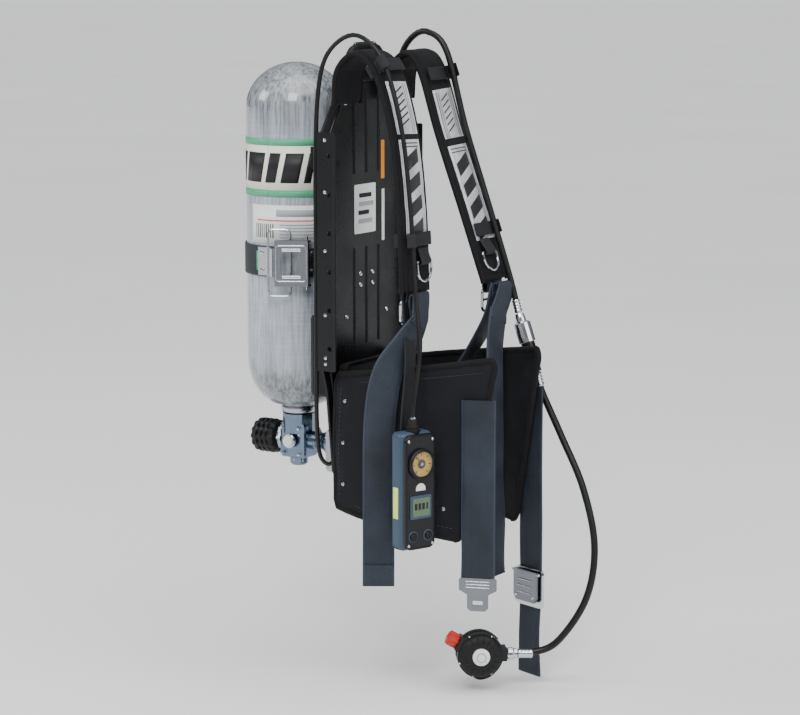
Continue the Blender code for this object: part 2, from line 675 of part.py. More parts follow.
def wire_loop(name, width, height, wire, corner, parent, top_corner=None):
    """Closed wire loop in the XZ plane, its top bar's middle at the origin."""
    if top_corner is None:
        top_corner = corner
    points = []
    for across, up, radius, start in ((1, 0, top_corner, 0.0), (-1, 0, top_corner, 90.0),
                                      (-1, -1, corner, 180.0), (1, -1, corner, 270.0)):
        inward = -radius if up == 0 else radius
        middle = (across * (width / 2.0 - radius), up * height + inward)
        points += [(first, 0.0, second) for first, second in arc(radius, start, start + 90.0, 4, middle)]
    return tube(name, points, wire, "steel", cyclic=True, parent=parent)


def build_harness():
    """Shoulder pads, straps and adjusters, the lumbar pad, wings and waist belt."""
    for side, route in PAD_ROUTES.items():
        centres = smooth_path(route, 22)
        sides = [ACROSS] * len(centres)
        widths = [PAD_WIDTH] * len(centres)
        mesh = sweep(centres, sides, widths, [PAD_THICKNESS] * len(centres), 4)
        add_object("shoulder_pad_" + side, mesh, "black_fabric")

        end = Vector(route[-1])
        adjuster = add_frame("adjuster_frame_" + side, end + Vector((0.0, 0.005, -0.0085)))
        wire_loop("adjuster_" + side, 0.052, 0.030, 0.004, 0.006, adjuster)
        webbing("lower_strap_" + side, LOWER_STRAPS[side], [ACROSS], WEBBING_WIDTH, WEBBING_THICKNESS,
                "navy_fabric")
        across = [ACROSS, TAIL_ACROSS, TAIL_ACROSS, TAIL_ACROSS] if side == "right" else [ACROSS]
        webbing("strap_tail_" + side, TAILS[side], across, WEBBING_WIDTH, WEBBING_THICKNESS, "navy_fabric")

        slope = (centres[-1] - centres[-2]).normalized()
        out = slope.cross(Vector(ACROSS)).normalized()
        ring_place = end - slope * 0.040 + out * (PAD_THICKNESS / 2.0 + 0.0035)
        ring_place.x = end.x + (0.010 if side == "right" else -0.012)
        ring = add_frame("ring_axis_" + side, ring_place, (math.atan2(slope.y, -slope.z), 0.0, 0.0))
        wire_loop("d_ring_" + side, 0.034, 0.026, 0.0035, 0.016, ring, top_corner=0.003)

    size = (0.170, 0.024, 0.190)
    place = (0.0, PLATE_FRONT - GAP - size[1] / 2.0, -0.250)
    add_object("lumbar_pad", rounded_box(size, 0.008), "black_fabric", place)
    for name, side in (("waist_wing_right", -1.0), ("waist_wing_left", 1.0)):
        slab(name, wing_rows(side), WING_THICKNESS, "black_fabric")

    build_belt()


def build_belt():
    """Two halves of the waist belt, with the tongue on the right and the buckle on the left."""
    down = 0.0075
    forward = math.radians(70.4)
    belt_top = -0.190
    belt_end = {"right": -0.425, "left": -0.585}
    buckle_top = -0.440
    for name, side in (("right", -1.0), ("left", 1.0)):
        angle = -forward if side < 0.0 else forward - math.pi
        place = (side * (0.0648 + down * math.sin(forward)), -0.3270 - down * math.cos(forward), 0.0)
        frame = add_frame("belt_frame_" + name, place, (0.0, 0.0, angle))
        end = belt_end[name]
        route = [(0.0, 0.0, belt_top), (0.0, 0.0, -0.300), (0.0, 0.0, -0.400), (0.0, 0.0, end)]
        webbing("waist_belt_" + name, route, [ACROSS], BELT_WIDTH, WEBBING_THICKNESS, "navy_fabric", 8, frame)
        if side < 0.0:
            tongue = [(0.025, -0.002), (0.023, 0.0), (-0.023, 0.0), (-0.025, -0.002), (-0.025, -0.016),
                      (-0.014, -0.022), (-0.014, -0.040), (-0.010, -0.044), (0.010, -0.044),
                      (0.014, -0.040), (0.014, -0.022), (0.025, -0.016)]
            slot = rounded_outline(0.014, 0.006, 0.002)
            slot = [(across, up - 0.033) for across, up in slot]
            plate = prism(tongue, -0.00125, 0.00125, [slot], along="Y")
            add_object("buckle_tongue", plate, "steel", (0.0, 0.0, end - GAP), parent=frame)
        else:
            build_buckle(frame, buckle_top)


def build_buckle(belt, top):
    """Square frame with a cover that lifts on a pin along its top edge."""
    frame = add_frame("buckle_frame_axis", (0.0, -0.0036, top), parent=belt)
    width = 0.056
    height = 0.052
    body = prism([(first, second - height / 2.0) for first, second in rounded_outline(width, height, 0.006)],
                 -0.002, 0.002, [[(first, second - height / 2.0 - 0.004)
                                  for first, second in rounded_outline(0.040, 0.026, 0.003)]], along="Y")
    add_object("buckle_frame", body, "steel", parent=frame)
    lift = add_frame("buckle_cover_axis", (0.0, -0.0065, -0.005), parent=frame)
    cover = [(0.0230, 0.0025), (-0.0230, 0.0025), (-0.0230, -0.0340), (-0.0180, -0.0400),
             (0.0180, -0.0400), (0.0230, -0.0340)]
    add_object("buckle_cover", prism(cover, -0.0018, 0.0018, along="Y"), "steel", parent=lift)


# ---------------------------------------------------------------- console
def build_console():
    """Shoulder console: case, cover, dial with its needle and lens, and two buttons."""
    frame = add_frame("console_frame", CONSOLE_PLACE, (0.0, 0.0, CONSOLE_TURN))
    width, depth, height = CONSOLE_SIZE
    front = -0.010
    case = rounded_box(CONSOLE_SIZE, 0.006, 2, (0.0, front + depth / 2.0, 0.0))
    add_object("console_case", case, "slate_plastic", parent=frame)

    cover_depth = 0.006
    near = front - GAP
    far = near - cover_depth
    outline = rounded_outline(width - 0.002, height - 0.004, 0.010)
    holes = []
    for across in (-BUTTON_SIDE, BUTTON_SIDE):
        holes.append(circle(BUTTON_RADIUS + 0.0005, 16, (across, BUTTON_Z)))
    add_object("console_cover", prism(outline, far, near, holes, along="Y"), "black_plastic", parent=frame)
    for number, across in ((1, -BUTTON_SIDE), (2, BUTTON_SIDE)):
        shape = [(0.0, -0.0095), (0.0042, -0.0095), (BUTTON_RADIUS, -0.0085), (BUTTON_RADIUS, -0.0025),
                 (0.0, -0.0025)]
        place = (across, near, BUTTON_Z)
        name = "console_button_" + str(number)
        add_object(name, turned(shape, 16, along="Y"), "rubber", place, parent=frame)

    dial = add_frame("dial_frame", (0.0, far - GAP, DIAL_Z), parent=frame)
    bezel = [(0.0165, -0.0050), (0.0185, -0.0050), (0.0200, -0.0035), (0.0200, 0.0), (0.0165, 0.0)]
    add_object("console_bezel", turned(bezel, 28, closed=True, along="Y"), "black_plastic", parent=dial)
    axis = add_frame("console_needle_axis", (0.0, -0.0024, 0.0), (0.0, math.radians(-40.0), 0.0), parent=dial)
    pointer = [(-0.0010, -0.0040), (0.0010, -0.0040), (0.0004, 0.0130), (-0.0004, 0.0130)]
    needle = prism(pointer, -0.0005, 0.0005, along="Y")
    add_object("console_needle", needle, "black_plastic", parent=axis)
    lens = [(0.0, -0.0050), (0.0161, -0.0044), (0.0161, -0.0034), (0.0, -0.0034)]
    add_object("console_lens", turned(lens, 24, along="Y"), "lens", parent=dial)


# ---------------------------------------------------------------- face-piece regulator
def build_regulator():
    """Regulator with its cover, button, bypass knob, outlet and hose swivel."""
    frame = add_frame("regulator_frame", REGULATOR_PLACE, (0.0, 0.0, REGULATOR_TURN))
    radius = REGULATOR_RADIUS
    inlet_half = 0.0085
    inlet = 0.0360
    knob_turn = math.radians(150.0)
    knob_boss = 0.0345
    boss_half = 0.0100
    start = math.degrees(math.asin(inlet_half / radius))
    spread = math.degrees(math.asin(boss_half / radius))
    outline = [(inlet, -inlet_half), (inlet, inlet_half)]
    outline += arc(radius, start, 150.0 - spread, 10)
    along = Vector((math.cos(knob_turn), math.sin(knob_turn)))
    across = Vector((-along.y, along.x))
    for sign in (-1.0, 1.0):
        outline.append(tuple(along * knob_boss + across * boss_half * sign))
    outline += arc(radius, 150.0 + spread, 360.0 - start, 16)
    front = -0.008
    back = 0.016
    body = add_object("regulator_body", prism(outline, front, back, along="Y"), "black_plastic", parent=frame)
    pocket = turned([(0.0, -0.02), (0.0130, -0.02), (0.0130, -0.0010), (0.0, -0.0010)], 24, along="Y")
    join_shape(body, add_object("regulator_pocket_guide", pocket, "steel", parent=frame), "DIFFERENCE")

    cover = [(0.0126, -0.0170), (0.0200, -0.0165), (0.0270, -0.0135), (0.0290, -0.0100),
             (0.0290, front - GAP), (0.0126, front - GAP)]
    add_object("regulator_cover", turned(cover, 32, closed=True, along="Y"), "rubber", parent=frame)
    button = [(0.0, -0.0205), (0.0080, -0.0205), (0.0118, -0.0190), (0.0118, -0.0050), (0.0, -0.0050)]
    add_object("regulator_button", turned(button, 24, along="Y"), "white_plastic", parent=frame)
    outlet = [(0.0150, back + GAP), (0.0195, back + GAP), (0.0195, 0.0240), (0.0210, 0.0250),
              (0.0210, 0.0290), (0.0150, 0.0290)]
    add_object("regulator_outlet", turned(outlet, 28, closed=True, along="Y"), "black_plastic", parent=frame)

    knob = add_frame("bypass_axis", (along.x * knob_boss, 0.004, along.y * knob_boss),
                     (0.0, math.radians(90.0) - knob_turn, 0.0), parent=frame)
    lobes = []
    for step in range(32):
        angle = 2.0 * math.pi * step / 32
        reach = 0.0092 + 0.0008 * math.cos(8.0 * angle)
        lobes.append((reach * math.cos(angle), reach * math.sin(angle)))
    add_object("bypass_knob", prism(lobes, GAP, 0.0150), "red_plastic", parent=knob)
    swivel = [(0.0, inlet + GAP), (0.0075, inlet + GAP), (0.0085, 0.0380), (0.0085, 0.0440),
              (0.0068, 0.0460), (0.0068, 0.0500), (0.0, 0.0500)]
    add_object("hose_swivel", turned(swivel, along="X"), "steel", parent=frame)


clear_scene()
build_cylinder()
build_valve()
build_band()
build_carrier()
build_reducer()
build_hoses()
build_harness()
build_console()
build_regulator()
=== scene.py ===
"""Looks of a self-contained breathing apparatus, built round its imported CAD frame.

Metres, +Z up. The origin is on the cylinder's axis; -Y is the wearer's side, +X the wearer's left.
"""
import json
import math

import bmesh
import bpy
from mathutils import Matrix, Vector
from mathutils.bvhtree import BVHTree
from mathutils.noise import noise


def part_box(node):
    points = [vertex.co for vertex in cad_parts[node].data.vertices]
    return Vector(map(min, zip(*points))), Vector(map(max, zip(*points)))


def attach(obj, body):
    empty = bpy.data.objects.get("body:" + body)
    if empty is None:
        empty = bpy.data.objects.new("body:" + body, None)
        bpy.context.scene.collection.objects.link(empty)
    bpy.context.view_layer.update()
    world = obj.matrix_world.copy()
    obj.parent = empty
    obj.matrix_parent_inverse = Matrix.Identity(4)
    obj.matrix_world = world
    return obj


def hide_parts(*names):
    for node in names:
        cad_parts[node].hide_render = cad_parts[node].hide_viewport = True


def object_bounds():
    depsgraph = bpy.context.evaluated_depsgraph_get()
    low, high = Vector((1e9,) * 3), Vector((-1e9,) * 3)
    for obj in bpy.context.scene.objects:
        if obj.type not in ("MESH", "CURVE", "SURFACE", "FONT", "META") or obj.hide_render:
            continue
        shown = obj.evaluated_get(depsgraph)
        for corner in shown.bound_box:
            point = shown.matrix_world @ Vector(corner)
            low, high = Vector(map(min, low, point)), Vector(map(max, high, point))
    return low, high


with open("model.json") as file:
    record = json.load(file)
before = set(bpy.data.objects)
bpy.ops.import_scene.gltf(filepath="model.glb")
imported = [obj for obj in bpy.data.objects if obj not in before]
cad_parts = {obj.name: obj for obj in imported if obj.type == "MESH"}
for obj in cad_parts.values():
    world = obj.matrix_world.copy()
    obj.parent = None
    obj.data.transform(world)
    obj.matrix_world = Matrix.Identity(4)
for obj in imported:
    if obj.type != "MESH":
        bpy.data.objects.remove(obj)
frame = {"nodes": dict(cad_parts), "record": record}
cad_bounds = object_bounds()
cylinder_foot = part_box("cylinder_shell")[0][2]
cylinder_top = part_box("cylinder_shell")[1][2]

# ---------------------------------------------------------------- sizes repeated from the CAD
SUPPLY_HOSE = 0.0085            # hose diameters
GAUGE_HOSE = 0.0060
REGULATOR_HOSE = 0.0095
PAD_WIDTH = 0.066
PAD_THICKNESS = 0.014
WEBBING_WIDTH = 0.042
WEBBING_THICKNESS = 0.0025
BELT_WIDTH = 0.045
WING_THICKNESS = 0.010
LIFT = 0.0006                   # how far a sewn strip stands off its pad
STITCH_LIFT = 0.0003            # how far a stitch stands off its pad
STITCH_PITCH = 0.0034           # length of one stitch: on webbing, on tapes, on wide pads
TAPE_PITCH = 0.0042
WIDE_PITCH = 0.0044
TAU = 2.0 * math.pi
ACROSS = Vector((1.0, 0.0, 0.0))
UP = Vector((0.0, 0.0, 1.0))
FRONT = Vector((0.0, -1.0, 0.0))
REAR = Vector((0.0, 1.0, 0.0))
TAIL_ACROSS = Vector((0.53, -0.85, 0.0))

# Points that each hose and strap passes through
GAUGE_ROUTE = [
    (-0.0355, -0.0860, -0.300), (-0.0600, -0.0870, -0.301), (-0.0880, -0.0930, -0.280),
    (-0.1000, -0.0970, -0.230), (-0.1000, -0.0970, -0.150), (-0.1000, -0.0970, 0.000),
    (-0.1000, -0.0970, 0.110), (-0.0980, -0.0990, 0.190), (-0.0950, -0.1070, 0.240),
    (-0.0930, -0.1280, 0.267), (-0.0920, -0.1560, 0.276), (-0.0930, -0.1860, 0.259),
    (-0.0940, -0.2070, 0.225), (-0.0960, -0.2290, 0.150), (-0.0985, -0.2430, 0.050),
    (-0.1010, -0.2510, -0.045), (-0.1120, -0.2650, -0.125), (-0.1255, -0.2645, -0.195),
    (-0.1270, -0.2640, -0.2270),
]
SUPPLY_ROUTE = [
    (0.0455, -0.0860, -0.306), (0.0680, -0.0870, -0.306), (0.0910, -0.0920, -0.283),
    (0.1000, -0.0960, -0.230), (0.1000, -0.0960, -0.150), (0.1000, -0.0960, 0.000),
    (0.1000, -0.0960, 0.110), (0.0980, -0.0985, 0.190), (0.0960, -0.1065, 0.240),
    (0.0930, -0.1270, 0.268), (0.0890, -0.1540, 0.275), (0.0880, -0.1840, 0.250),
    (0.0900, -0.2125, 0.150), (0.0930, -0.2480, 0.045), (0.0950, -0.2800, -0.050),
    (0.0950, -0.2940, -0.098),
]
REGULATOR_ROUTE = [
    (0.0950, -0.3220, -0.176), (0.0945, -0.3315, -0.203), (0.0920, -0.3620, -0.258),
    (0.0850, -0.4000, -0.325), (0.0760, -0.4230, -0.400), (0.0630, -0.4180, -0.470),
    (0.0450, -0.3850, -0.529), (0.0286, -0.3558, -0.5445), (0.0163, -0.3401, -0.5450),
]
PAD_ROUTES = {
    "right": [(-0.066, -0.1240, 0.185), (-0.066, -0.1290, 0.230), (-0.066, -0.1560, 0.252),
              (-0.067, -0.1880, 0.228), (-0.071, -0.2150, 0.150), (-0.075, -0.2300, 0.050),
              (-0.078, -0.2360, -0.055)],
    "left": [(0.066, -0.1240, 0.185), (0.066, -0.1290, 0.228), (0.067, -0.1500, 0.248),
             (0.069, -0.1720, 0.225), (0.073, -0.1980, 0.140), (0.077, -0.2330, 0.040),
             (0.080, -0.2660, -0.055)],
}
LOWER_STRAPS = {
    "right": [(-0.076, -0.2400, -0.061), (-0.072, -0.2380, -0.100), (-0.066, -0.2100, -0.170),
              (-0.063, -0.1750, -0.220), (-0.062, -0.1440, -0.262)],
    "left": [(0.078, -0.2730, -0.061), (0.064, -0.2680, -0.105), (0.052, -0.2330, -0.165),
             (0.050, -0.1850, -0.225), (0.055, -0.1450, -0.262)],
}
TAILS = {
    "right": [(-0.082, -0.2465, -0.092), (-0.104, -0.2360, -0.122), (-0.121, -0.2220, -0.158),
              (-0.128, -0.2140, -0.220), (-0.131, -0.2140, -0.330), (-0.133, -0.2150, -0.435)],
    "left": [(0.060, -0.2840, -0.092), (0.040, -0.2900, -0.140), (0.034, -0.2950, -0.200),
             (0.033, -0.2980, -0.320), (0.036, -0.2980, -0.445)],
}
WING_ROUTE = [(0.0910, -0.1200, 0.0), (0.0985, -0.1540, 0.0), (0.0990, -0.2000, 0.0),
              (0.0890, -0.2560, 0.0), (0.0720, -0.3080, 0.0), (0.0560, -0.3500, 0.0)]


# ---------------------------------------------------------------- places taken from the frame
def centre(node):
    """Middle of a node's box."""
    low, high = corners(node)
    return (low + high) / 2.0


def corners(node):
    """Lowest and highest corner of a node's box."""
    return [Vector(corner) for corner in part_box(node)]


def joint_named(name):
    """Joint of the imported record."""
    return next(joint for joint in frame["record"]["behaviour"]["joints"] if joint["name"] == name)


def standing(place, along):
    """Frame at a place whose Z runs along a direction."""
    matrix = along.to_track_quat("Z", "Y").to_matrix().to_4x4()
    matrix.translation = place
    return matrix


def frame_along(axis, origin):
    """Upright frame whose Y runs along the axis."""
    forward = Vector(axis).normalized()
    side = forward.cross(UP).normalized()
    matrix = Matrix((side, forward, side.cross(forward))).transposed().to_4x4()
    matrix.translation = origin
    return matrix


# ---------------------------------------------------------------- making pieces
def put_piece(name, data, look, body="root", stands_for=()):
    """Mesh or curve added as a piece that rides on a body."""
    made = bpy.data.objects.new(name, data)
    bpy.context.scene.collection.objects.link(made)
    made.data.materials.append(look)
    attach(made, body)
    if stands_for:
        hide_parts(*stands_for)
    return made


def mesh_piece(name, bm, look, body="root", stands_for=(), sharp=40.0, matrix=None):
    """Turn a bmesh into a smooth piece, sharp only at its hard edges."""
    if matrix is not None:
        bmesh.ops.transform(bm, matrix=matrix, verts=bm.verts)
    bmesh.ops.recalc_face_normals(bm, faces=bm.faces)
    data = bpy.data.meshes.new(name)
    bm.to_mesh(data)
    bm.free()
    data.shade_smooth()
    data.set_sharp_from_angle(angle=math.radians(sharp))
    return put_piece(name, data, look, body, stands_for)


def round_edges(piece, width, segments=3):
    """Bevel that rounds a piece's hard edges."""
    step = piece.modifiers.new("round_edges", "BEVEL")
    step.width = width
    step.segments = segments
    step.limit_method = "ANGLE"
    step.angle_limit = math.radians(30.0)
    step.harden_normals = True
    return piece


def settle(piece):
    """Apply a piece's modifiers to its mesh."""
    bpy.context.view_layer.update()
    graph = bpy.context.evaluated_depsgraph_get()
    data = bpy.data.meshes.new_from_object(piece.evaluated_get(graph))
    piece.modifiers.clear()
    piece.data = data
    return piece


def smooth_path(points, count):
    """Evenly spaced points on the smooth curve through the given ones."""
    knots = [Vector(point) for point in points]
    knots.insert(0, 2.0 * knots[0] - knots[1])
    knots.append(2.0 * knots[-1] - knots[-2])
    fine = []
    parts = 24
    for index in range(1, len(knots) - 2):
        before, here, there, beyond = knots[index - 1:index + 3]
        for part in range(parts):
            t = part / parts
            bend = 2.0 * before - 5.0 * here + 4.0 * there - beyond
            twist = 3.0 * here - before - 3.0 * there + beyond
            fine.append(0.5 * (2.0 * here + (there - before) * t + bend * t * t + twist * t ** 3))
    fine.append(knots[-2])
    travelled = [0.0]
    for one, two in zip(fine, fine[1:]):
        travelled.append(travelled[-1] + (two - one).length)
    spaced = []
    index = 0
    for step in range(count):
        wanted = travelled[-1] * step / (count - 1)
        while index < len(fine) - 2 and travelled[index + 1] < wanted:
            index += 1
        span = travelled[index + 1] - travelled[index]
        spaced.append(fine[index].lerp(fine[index + 1], (wanted - travelled[index]) / span))
    return spaced


def path_length(points):
    """Length of the line through the points."""
    return sum((two - one).length for one, two in zip(points, points[1:]))


def arc(radius, start, end, count, middle=(0.0, 0.0)):
    """Points on an arc, angles in degrees."""
    points = []
    for step in range(count + 1):
        angle = math.radians(start + (end - start) * step / count)
        points.append((middle[0] + radius * math.cos(angle), middle[1] + radius * math.sin(angle)))
    return points


def rounded_outline(width, height, radius, count=6, middle=(0.0, 0.0)):
    """Rectangle with round corners."""
    points = []
    for sign_x, sign_y, start in ((1, 1, 0.0), (-1, 1, 90.0), (-1, -1, 180.0), (1, -1, 270.0)):
        corner = (middle[0] + sign_x * (width / 2.0 - radius), middle[1] + sign_y * (height / 2.0 - radius))
        points += arc(radius, start, start + 90.0, count, corner)
    return points


TURN_TO = {
    "X": Matrix.Rotation(math.radians(90.0), 4, "Y"),
    "Y": Matrix.Rotation(math.radians(-90.0), 4, "X"),
    "Z": Matrix.Identity(4),
}


def turned(profile, steps=64, along="Z", flute=0.0, flutes=0):
    """Lathe of (radius, height) points. Flutes wave every radius by the given depth."""
    bm = bmesh.new()
    rings = []
    for radius, height in profile:
        if radius < 1e-6:
            rings.append([bm.verts.new((0.0, 0.0, height))])
            continue
        ring = []
        for step in range(steps):
            angle = TAU * step / steps
            reach = radius + flute * math.cos(flutes * angle)
            ring.append(bm.verts.new((reach * math.cos(angle), reach * math.sin(angle), height)))
        rings.append(ring)
    for low, high in zip(rings, rings[1:]):
        for step in range(steps):
            after = (step + 1) % steps
            corners = [low[step % len(low)], low[after % len(low)],
                       high[after % len(high)], high[step % len(high)]]
            corners = list(dict.fromkeys(corners))
            if len(corners) > 2:
                bm.faces.new(corners)
    bmesh.ops.transform(bm, matrix=TURN_TO[along], verts=bm.verts)
    return bm


def closed_turned(profile, steps=64, along="Z"):
    """Lathe of a closed section that stays clear of the axis."""
    bm = turned(profile + [profile[0]], steps, along)
    bmesh.ops.remove_doubles(bm, verts=bm.verts, dist=1e-6)
    return bm


def rounded_cube(size, middle, radius, segments):
    """Box with rounded edges, as a bmesh."""
    bm = bmesh.new()
    bmesh.ops.create_cube(bm, size=1.0, matrix=Matrix.Translation(middle) @ Matrix.Diagonal((*size, 1.0)))
    bmesh.ops.bevel(bm, geom=list(bm.edges), offset=radius, segments=segments, affect="EDGES", profile=0.5)
    return bm


def grid_faces(bm, grid):
    """Faces between the lines of a grid of vertices."""
    for below, above in zip(grid, grid[1:]):
        for column in range(len(below) - 1):
            bm.faces.new((below[column], below[column + 1], above[column + 1], above[column]))


def prism(outline, low, high, along="Y"):
    """Outline of (x, z) points pushed along Y, or of (x, y) points along Z."""
    bm = bmesh.new()
    rings = []
    for level in (low, high):
        ring = []
        for first, second in outline:
            place = (first, level, second) if along == "Y" else (first, second, level)
            ring.append(bm.verts.new(place))
        rings.append(ring)
    count = len(outline)
    for step in range(count):
        after = (step + 1) % count
        bm.faces.new((rings[0][step], rings[0][after], rings[1][after], rings[1][step]))
    bm.faces.new(rings[0])
    bm.faces.new(rings[1])
    return bm


def tube_piece(name, points, diameter, look, body="root", stands_for=(), cyclic=False):
    """Round hose, cord, piping or wire along the points."""
    data = bpy.data.curves.new(name, "CURVE")
    data.dimensions = "3D"
    data.bevel_depth = diameter / 2.0
    data.bevel_resolution = 4
    data.use_fill_caps = True
    line = data.splines.new("POLY")
    line.points.add(len(points) - 1)
    for slot_point, point in zip(line.points, points):
        slot_point.co = (*point, 1.0)
    line.use_cyclic_u = cyclic
    return put_piece(name, data, look, body, stands_for)


# ---------------------------------------------------------------- materials
class Look:
    """Node material: a Principled shader and small tools that feed it."""

    def __init__(self, name, colour, roughness, metallic=0.0, **sockets):
        self.made = bpy.data.materials.new(name)
        self.made.use_nodes = True
        self.tree = self.made.node_tree
        self.shader = self.tree.nodes["Principled BSDF"]
        self.colour = (*colour, 1.0)
        self.shader.inputs["Base Color"].default_value = self.colour
        self.shader.inputs["Roughness"].default_value = roughness
        self.shader.inputs["Metallic"].default_value = metallic
        for socket, value in sockets.items():
            self.shader.inputs[socket.replace("_", " ")].default_value = value

    def node(self, kind, inputs=(), **settings):
        """Node of a kind, with its settings and what feeds its inputs."""
        made = self.tree.nodes.new("ShaderNode" + kind)
        for key, value in settings.items():
            setattr(made, key, value)
        for key, value in dict(inputs).items():
            self.feed(made.inputs[key], value)
        return made

    def feed(self, socket, value):
        """Link an output into a socket, or set its value."""
        if isinstance(value, bpy.types.NodeSocket):
            self.tree.links.new(value, socket)
        else:
            socket.default_value = value

    def place(self, stretch=(1.0, 1.0, 1.0)):
        """Object coordinates, in metres, times the stretch."""
        source = self.node("TexCoord").outputs["Object"]
        return self.node("Mapping", {"Vector": source, "Scale": stretch}).outputs["Vector"]

    def run(self):
        """Metres along and across a strap, as two sockets."""
        source = self.node("UVMap", uv_map="run").outputs["UV"]
        split = self.node("SeparateXYZ", {"Vector": source})
        return split.outputs["X"], split.outputs["Y"]

    def math(self, operation, first, second=0.0, third=0.0):
        """Result of a math node."""
        made = self.node("Math", operation=operation)
        for socket, value in zip(made.inputs, (first, second, third)):
            self.feed(socket, value)
        return made.outputs[0]

    def noise(self, size, detail=2.0, stretch=(1.0, 1.0, 1.0), rough=0.5):
        """Noise whose lumps are about the given size in metres."""
        vector = self.place(stretch)
        made = self.node("TexNoise", {"Vector": vector, "Scale": 1.0 / size, "Detail": detail,
                                      "Roughness": rough})
        return made.outputs["Fac"]

    def cells(self, size, feature="F1", stretch=(1.0, 1.0, 1.0)):
        """Distance within cells of the given size."""
        vector = self.place(stretch)
        made = self.node("TexVoronoi", {"Vector": vector, "Scale": 1.0 / size}, feature=feature)
        return made.outputs["Distance"]

    def between(self, value, low, high):
        """1 where the value lies between low and high, else 0."""
        above = self.math("GREATER_THAN", value, low)
        return self.math("MULTIPLY", above, self.math("LESS_THAN", value, high))

    def spread(self, value, low, high, to_low=0.0, to_high=1.0):
        """Value's range low to high mapped to another range, and kept inside it."""
        made = self.node("MapRange", {"Value": value, "From Min": low, "From Max": high, "To Min": to_low,
                                      "To Max": to_high})
        return made.outputs["Result"]

    def mix(self, amount, first, second):
        """Colour mixed from two."""
        made = self.node("Mix", data_type="RGBA")
        self.feed(made.inputs[0], amount)
        for socket, value in ((made.inputs[6], first), (made.inputs[7], second)):
            self.feed(socket, value if isinstance(value, bpy.types.NodeSocket) else (*value[:3], 1.0))
        return made.outputs[2]

    def tint(self, socket):
        """Use a colour output as the surface colour."""
        self.feed(self.shader.inputs["Base Color"], socket)
        return self

    def shine(self, socket):
        """Use an output as the roughness."""
        self.feed(self.shader.inputs["Roughness"], socket)
        return self

    def bump(self, height, distance, strength=1.0):
        """Raise the surface by the height, times the distance in metres."""
        before = self.shader.inputs["Normal"].links
        made = self.node("Bump", {"Height": height, "Distance": distance, "Strength": strength})
        if before:
            self.feed(made.inputs["Normal"], before[0].from_socket)
        self.feed(self.shader.inputs["Normal"], made.outputs["Normal"])
        return self


def worn(look, amount=0.10, size=0.030):
    """Soft blotches of colour and roughness, and fine dust, over a look."""
    blotch = look.noise(size, 4.0)
    fine = look.noise(size / 12.0, 2.0)
    base = look.colour
    darker = tuple(value * (1.0 - amount) for value in base[:3])
    lighter = tuple(min(1.0, value * (1.0 + amount) + 0.01 * amount) for value in base[:3])
    shade = look.math("ADD", look.math("MULTIPLY", blotch, 0.7), look.math("MULTIPLY", fine, 0.3))
    look.tint(look.mix(shade, darker, lighter))
    rough = look.shader.inputs["Roughness"].default_value
    look.shine(look.spread(blotch, 0.3, 0.7, max(0.02, rough - 0.08), min(1.0, rough + 0.10)))
    return look


def metal_look(name, colour, roughness, brushed=0.0):
    """Metal with faint scratches, drawn out along Z when it is brushed."""
    look = worn(Look(name, colour, roughness, 1.0), 0.12, 0.014)
    stretch = (1.0, 1.0, 0.08) if brushed else (1.0, 1.0, 1.0)
    look.bump(look.noise(0.0009, 3.0, stretch), 0.00004 + brushed * 0.00005)
    return look.made


def moulded_look(name, colour, roughness, grain=0.0012, depth=0.00005):
    """Moulded plastic or rubber with a fine leather-like grain."""
    look = worn(Look(name, colour, roughness, 0.0, Specular_IOR_Level=0.28), 0.22, 0.045)
    look.bump(look.cells(grain), depth)
    return look.made


def cloth_look(name, colour, pitch=0.0014):
    """Padded cloth: a plain weave from crossed waves, broken by soft wear."""
    look = Look(name, colour, 0.82, 0.0, Sheen_Weight=0.03, Sheen_Roughness=0.45,
                Specular_IOR_Level=0.16)
    turn = TAU / pitch
    split = look.node("SeparateXYZ", {"Vector": look.place()})
    rise = look.math("SINE", look.math("MULTIPLY", split.outputs["Z"], turn))
    sideways = look.math("ADD", split.outputs["X"], split.outputs["Y"])
    run = look.math("SINE", look.math("MULTIPLY", sideways, turn))
    weave = look.math("MULTIPLY_ADD", look.math("MULTIPLY", rise, run), 0.5, 0.5)
    wear = look.noise(0.035, 5.0)
    fuzz = look.noise(0.0018, 2.0)
    shade = look.math("MULTIPLY_ADD", weave, 0.35, look.math("MULTIPLY", wear, 0.9))
    pale = tuple(value * 2.3 + 0.0015 for value in colour)
    dark = tuple(value * 0.55 for value in colour)
    look.tint(look.mix(look.spread(shade, 0.25, 0.95), dark, pale))
    look.shine(look.spread(wear, 0.3, 0.7, 0.70, 0.92))
    look.bump(look.math("ADD", weave, look.math("MULTIPLY", fuzz, 0.6)), 0.00022)
    return look.made


